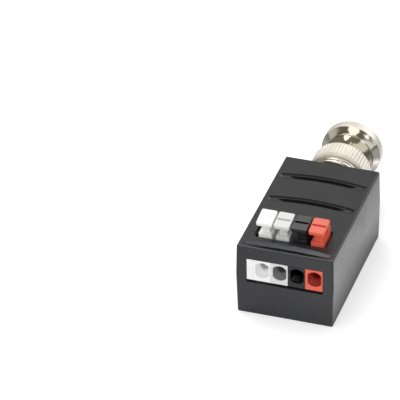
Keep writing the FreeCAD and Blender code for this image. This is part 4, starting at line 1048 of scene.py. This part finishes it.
def collar_section():
    """The collar, a ring with a groove round its waist."""
    back, front, outer = reach("connector_collar")
    waist = (back + front) / 2 + WAIST_SHIFT
    front += COLLAR_OVER
    return section_of([
        (back, COLLAR_BORE, 0.03), (front, COLLAR_BORE, 0.1), (front, outer, COLLAR_ROUND),
        (waist + WAIST_HALF, outer, 0.3), (waist, outer - WAIST_DEPTH, 0.03),
        (waist - WAIST_HALF, outer, 0.3), (back, outer, COLLAR_ROUND),
    ])


def body_section():
    """The plug's body: shank, bearing, shoulder and contact sleeve."""
    tail, tip, _ = reach("connector_body")
    return section_of([
        (tail, BODY_BORE, 0.05), (SHOULDER_START, BODY_BORE, 0.02), (SHOULDER_START, CONTACT_BORE, 0.02),
        (tip, CONTACT_BORE, 0.12), (tip, CONTACT_RADIUS, 0.2), (SHOULDER_END, CONTACT_RADIUS, 0.02),
        (SHOULDER_END, SHOULDER_RADIUS, 0.1), (SHOULDER_START, SHOULDER_RADIUS, 0.1),
        (SHOULDER_START, BEARING_RADIUS, 0.02), (BEARING_START, BEARING_RADIUS, 0.05),
        (BEARING_START, SHANK_RADIUS, 0.02), (tail, SHANK_RADIUS, 0.15),
    ])


def insulator_section():
    """The insulator: a tube round the pin, wider inside the contact sleeve."""
    tail, tip, _ = reach("connector_insulator")
    return section_of([
        (tail, PIN_HOLE, 0.03), (tip, PIN_HOLE, 0.1), (tip, INSULATOR_WIDE, 0.15),
        (INSULATOR_STEP, INSULATOR_WIDE, 0.03), (INSULATOR_STEP, INSULATOR_NARROW, 0.03),
        (tail, INSULATOR_NARROW, 0.1),
    ])


def pin_section():
    """The centre pin, open along the axis, with a round tip."""
    tail, tip, r = reach("centre_pin")
    line = section_of([(tail, 0.0, 1e-4), (tip, 0.0, 1e-4), (tip, r, 0.42), (tail, r, 0.1)], steps=6)
    return np.concatenate([[(tip, 0.0)], line[line[:, 1] > 1e-3], [(tail, 0.0)]])


def gasket_section():
    """The ring of rubber in front of the shoulder."""
    back, front, outer = reach("face_gasket")
    return section_of([(y, r, GASKET_ROUND) for y, r in rectangle(back, front, GASKET_BORE, outer)])


class BuildPlug(Make):
    """Builds the plug: coupling nut, collar, body with its contact sleeve, insulator, pin and gasket."""

    bl_idname = "balun.build_plug"
    bl_label = "Bayonet plug"

    def execute(self, context):
        s = in_millimetres(context.scene.balun_plug)
        nut = carved(turned(nut_section(), s.rib_count * 10, change=grip_ribs(s)), channel_cutters(s))
        body = carved(turned(body_section(), 128), sleeve_cutters(s, reach("connector_body")[1]))
        insulator = to_mesh(turned(insulator_section(), 96))
        made = [
            piece("nut", nut, "coupling_nut", "nickel", "coupling_nut"),
            piece("collar", to_mesh(turned(collar_section(), 192)), "case", "nickel",
                  "connector_collar"),
            piece("contact_sleeve", body, "case", "nickel", "connector_body"),
            piece("insulator", insulator, "case", "insulator", "connector_insulator"),
            piece("pin", to_mesh(turned(pin_section(), 64, closed=False)), "case", "pin",
                  "centre_pin"),
            piece("gasket", to_mesh(turned(gasket_section(), 96)), "case", "rubber",
                  "face_gasket"),
        ]
        return self.finished(made)


class DressInside(Make):
    """Gives their finishes to the pieces that are carried over."""

    bl_idname = "balun.dress_inside"
    bl_label = "Inner pieces"

    def execute(self, context):
        wanted = {
            "circuit_board": "board", "toroid_core": "ferrite", "toroid_winding": "wire",
            "transient_suppressor": "moulding", "chip_capacitor": "ceramic", "chip_resistors": "moulding",
            "thrust_washer": "nickel", "spring_washer": "spring", "lock_nut": "nickel",
            "ground_tag": "tin", "signal_lead": "tin",
        }
        for name in NAMES:
            wanted["contact_bar_" + name] = "tin"
            wanted["clamp_spring_" + name] = "spring"
        for node, finish in wanted.items():
            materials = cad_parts[node].data.materials
            materials.clear()
            materials.append(finishes()[finish])
        return self.finished(wanted)


# How much painted shade darkens each terminal's plastic inside its wire port
PORT_PAINTED_SHADE = {"white": 0.12, "grey": 0.97, "black": 1.0, "red": 0.8}
_finishes = {}


def finishes():
    """The materials by name, made once."""
    if not _finishes:
        scene = bpy.context.scene
        t, p, b = scene.balun_terminals, scene.balun_plug, scene.balun_board
        grip = (NUT_LOW[1] - 0.1, NUT_LOW[1] + 4.95, 5.6, 0.42)
        rim = (NUT_HIGH[1] - RIM_LENGTH, NUT_HIGH[1] + 1.0, 6.9, 0.36)
        # the nut's neck, which gets a painted dark reflection in the nickel
        neck = (NUT_LOW[1] + 5.05, NUT_HIGH[1] - 3.9, 5.6)
        _finishes.update({
            "case": moulded("case plastic", scene.balun_case.plastic, 0.27, 0.003, 7.0, 0.06, dusty=0.35),
            "nickel": plated("nickel plate", p.nickel, 0.09, lines=0.0008, satin=(grip, rim), painted_reflection=neck),
            "pin": plated("pin metal", p.pin, 0.22),
            "insulator": moulded("insulator plastic", p.insulator, 0.4, 0.006, 5.0, tint=0.03),
            "rubber": moulded("gasket rubber", p.rubber, 0.6, 0.01, 6.0),
            "board": printed_board(b.mask),
            "ferrite": ceramic("ferrite", b.ferrite, 0.6),
            "wire": enamelled(b.wire),
            "tin": plated("tinned metal", b.tin, 0.34),
            "spring": plated("spring metal", b.spring, 0.30),
            "moulding": ceramic("component moulding", b.moulding, 0.5),
            "ceramic": ceramic("chip ceramic", b.ceramic, 0.4),
        })
        for name in NAMES:
            rgb = getattr(t, name)
            _finishes[name] = moulded(name + " plastic", rgb, 0.30, 0.004, 4.0, tint=0.03)
            _finishes[name + " port"] = moulded(name + " terminal plastic", rgb, 0.30, 0.004, 4.0,
                                                tint=0.03, dark=PORT_PAINTED_SHADE[name])
    return _finishes


KEY_PLACE, KEY_SIZE = (-0.30, 0.30, 0.72), 0.5
FLOOR_REACH = 6.0
WHITE = (1, 1, 1, 1)


class BuildStage(Make):
    """Builds the floor, the light, the surroundings and the camera."""

    bl_idname = "balun.build_stage"
    bl_label = "Stage"

    def execute(self, context):
        scene = context.scene
        s = scene.balun_stage
        made = [self.floor(s), self.surroundings(scene, s), self.camera(scene, s), self.key_light(s)]
        scene.view_settings.view_transform = "Standard"
        return self.finished(all(made))

    def floor(self, s):
        """A wide flat floor of white paper, a little brighter to the camera, with the shadow kept.

        In reflections a painted glow lies along the case's right side, and painted shade makes the
        floor dimmer on the left, far away and to the right of the glow."""
        r = FLOOR_REACH
        mesh = bpy.data.meshes.new("floor")
        mesh.from_pydata([(-r, -r, 0), (r, -r, 0), (r, r, 0), (-r, r, 0)], [], [(0, 1, 2, 3)])
        thing = placed("floor", mesh)
        material = bpy.data.materials.new("floor paper")
        nodes = Nodes(material)
        seen, mirrored = nodes.rays()
        x, y, z = nodes.split(nodes.place())
        # painted shade, seen only in reflections: dimmer on the left, far from the case, and in a painted
        # shadow right of the glow
        near = 1 - (((x - 10) ** 2 + (y - 10) ** 2) ** 0.5).between(45, 120)
        painted_shadow_beside = x.between(20.5, 23)
        level = (x.between(-25, 5) * 0.45 + 0.55) * (near * 0.5 + 0.5) * (1 - painted_shadow_beside * 0.5)
        level = 1 - mirrored * (1 - level)
        # painted glow, seen only in reflections: a bright strip along the case's right side
        painted_glow = x.between(11.5, 17) * (1 - painted_shadow_beside) * y.band(-22, 44, 4)
        corner = x.between(17, 19) * y.between(16, 22)
        painted_glow = painted_glow * (1 - corner) * (1.25 - y.between(-10, 40) * 0.45)
        paper = nodes.node("BsdfDiffuse", {0: nodes.scale(tuple(s.floor), level)})
        strength = seen * s.camera_lift + mirrored * (painted_glow * s.mirror_lift)
        glow = nodes.node("Emission", {"Strength": strength})
        both = nodes.node("AddShader", {0: paper, 1: glow})
        nodes.node("OutputMaterial", {0: both})
        mesh.materials.append(material)
        return thing

    def surroundings(self, scene, s):
        """White to the camera, and an even light for matte surfaces, with more of it from the front.

        Glossy surfaces see a dim studio. Each panel is laid out by its direction: from the camera's
        side, azimuth goes up to the right, and height is the angle above the floor, in degrees."""
        world = bpy.data.worlds.new("studio")
        scene.world = world
        nodes = Nodes(world)
        x, y, z = nodes.split(nodes.node("TexCoord"))
        azimuth = x.math("ARCTAN2", x, y * -1) * math.degrees(1)
        height = z.math("ARCSINE", z) * math.degrees(1)
        far = y.between(0.1, 0.3)
        behind = far * x.between(0.06, 0.16) * height.band(8, 43, 3)
        strip = far * x.band(-0.02, 0.05, 0.015) * height.band(28, 46, 3)
        left = azimuth.band(-110, -40, 6) * height.band(-15, 24, 6)
        right = azimuth.band(45, 110, 5) * height.band(-5, 50, 5)
        ceiling = height.between(60, 72) * y.between(-0.1, 0.04)
        wide = azimuth.band(-26, 12, 2) * height.band(16, 60, 4)
        small = azimuth.band(18, 39, 2) * height.band(6, 30, 3)
        panels = (
            (behind, (1.7, 1.68, 1.64)), (right, (0.85, 0.84, 0.82)), (left, (0.62, 0.59, 0.54)),
            (strip, (2.2, 2.2, 2.2)), (ceiling, (1.6, 1.63, 1.72)), (wide, (1.6, 1.52, 1.38)),
            (small, (1.7, 1.7, 1.7)),
        )
        seen = nodes.mix(far, (0.16, 0.14, 0.11, 1.0), (0.40, 0.38, 0.34, 1.0))
        for zone, bright in panels:
            seen = nodes.mix(zone, seen, bright + (1.0,))
        camera, mirrored = nodes.rays()
        ahead = (y * -1).between(0.2, 0.9) * height.band(-5, 55, 10)
        plain = nodes.node("Background", {0: WHITE, 1: ahead * s.front_sky + s.sky})
        studio = nodes.node("Background", {0: seen, 1: 1.0})
        white = nodes.node("Background", {0: WHITE, 1: 1.0})
        light = nodes.node("MixShader", {0: mirrored, 1: plain, 2: studio})
        whole = nodes.node("MixShader", {0: camera, 1: light, 2: white})
        nodes.node("OutputWorld", {0: whole})
        return world

    def camera(self, scene, s):
        """Puts the camera where the photograph was taken from, the case off the picture's middle."""
        data = bpy.data.cameras.new("camera")
        data.sensor_width = 36.0
        data.lens = s.focal_pixels * data.sensor_width / s.picture_width
        data.clip_start, data.clip_end = 0.05, 20.0
        az, el = s.camera_azimuth, s.camera_elevation
        back = Vector((math.sin(az) * math.cos(el), -math.cos(az) * math.cos(el), math.sin(el)))
        to_case = Vector((s.case_right / s.focal_pixels, -s.case_down / s.focal_pixels, -1)).normalized()
        thing = placed("camera", data)
        thing.rotation_mode = "QUATERNION"
        thing.rotation_quaternion = (-back).to_track_quat("-Z", "Y") @ to_case.rotation_difference(
            Vector((0, 0, -1)))
        thing.location = Vector((0, 0, COVER_HIGH[2] * MM / 2)) + back * s.camera_distance
        scene.camera = thing
        return thing

    def key_light(self, s):
        """A large square light above, behind on the left, that points at the origin."""
        light = bpy.data.lights.new("key", "AREA")
        light.shape = "SQUARE"
        light.size = KEY_SIZE
        light.energy = s.key_power
        thing = placed("key", light)
        thing.location = KEY_PLACE
        thing.rotation_euler = (-Vector(KEY_PLACE)).to_track_quat("-Z", "Y").to_euler()
        return thing


class BalunPanel(bpy.types.Panel):
    """Lists the steps that build the balun."""

    bl_idname = "VIEW3D_PT_balun"
    bl_label = "Video balun"
    bl_space_type = "VIEW_3D"
    bl_region_type = "UI"
    bl_category = "Balun"

    def draw(self, context):
        for step in STEPS:
            self.layout.operator(step.bl_idname)


GROUPS = {
    "balun_case": CaseSettings, "balun_terminals": TerminalSettings, "balun_buttons": ButtonSettings,
    "balun_plug": PlugSettings, "balun_board": BoardSettings, "balun_stage": StageSettings,
}
STEPS = (BuildCover, BuildCase, BuildTerminals, BuildButtons, BuildPlug, DressInside, BuildStage)


def register():
    """Registers the settings, the steps and the panel."""
    for name, group in GROUPS.items():
        bpy.utils.register_class(group)
        setattr(bpy.types.Scene, name, PointerProperty(type=group))
    for step in STEPS + (BalunPanel,):
        bpy.utils.register_class(step)


def unregister():
    """Takes back what register did."""
    for step in (BalunPanel,) + STEPS[::-1]:
        bpy.utils.unregister_class(step)
    for name, group in GROUPS.items():
        delattr(bpy.types.Scene, name)
        bpy.utils.unregister_class(group)


def main():
    """Builds everything in order."""
    register()
    for step in STEPS:
        group, action = step.bl_idname.split(".")
        getattr(getattr(bpy.ops, group), action)()


if __name__ == "__main__":
    main()
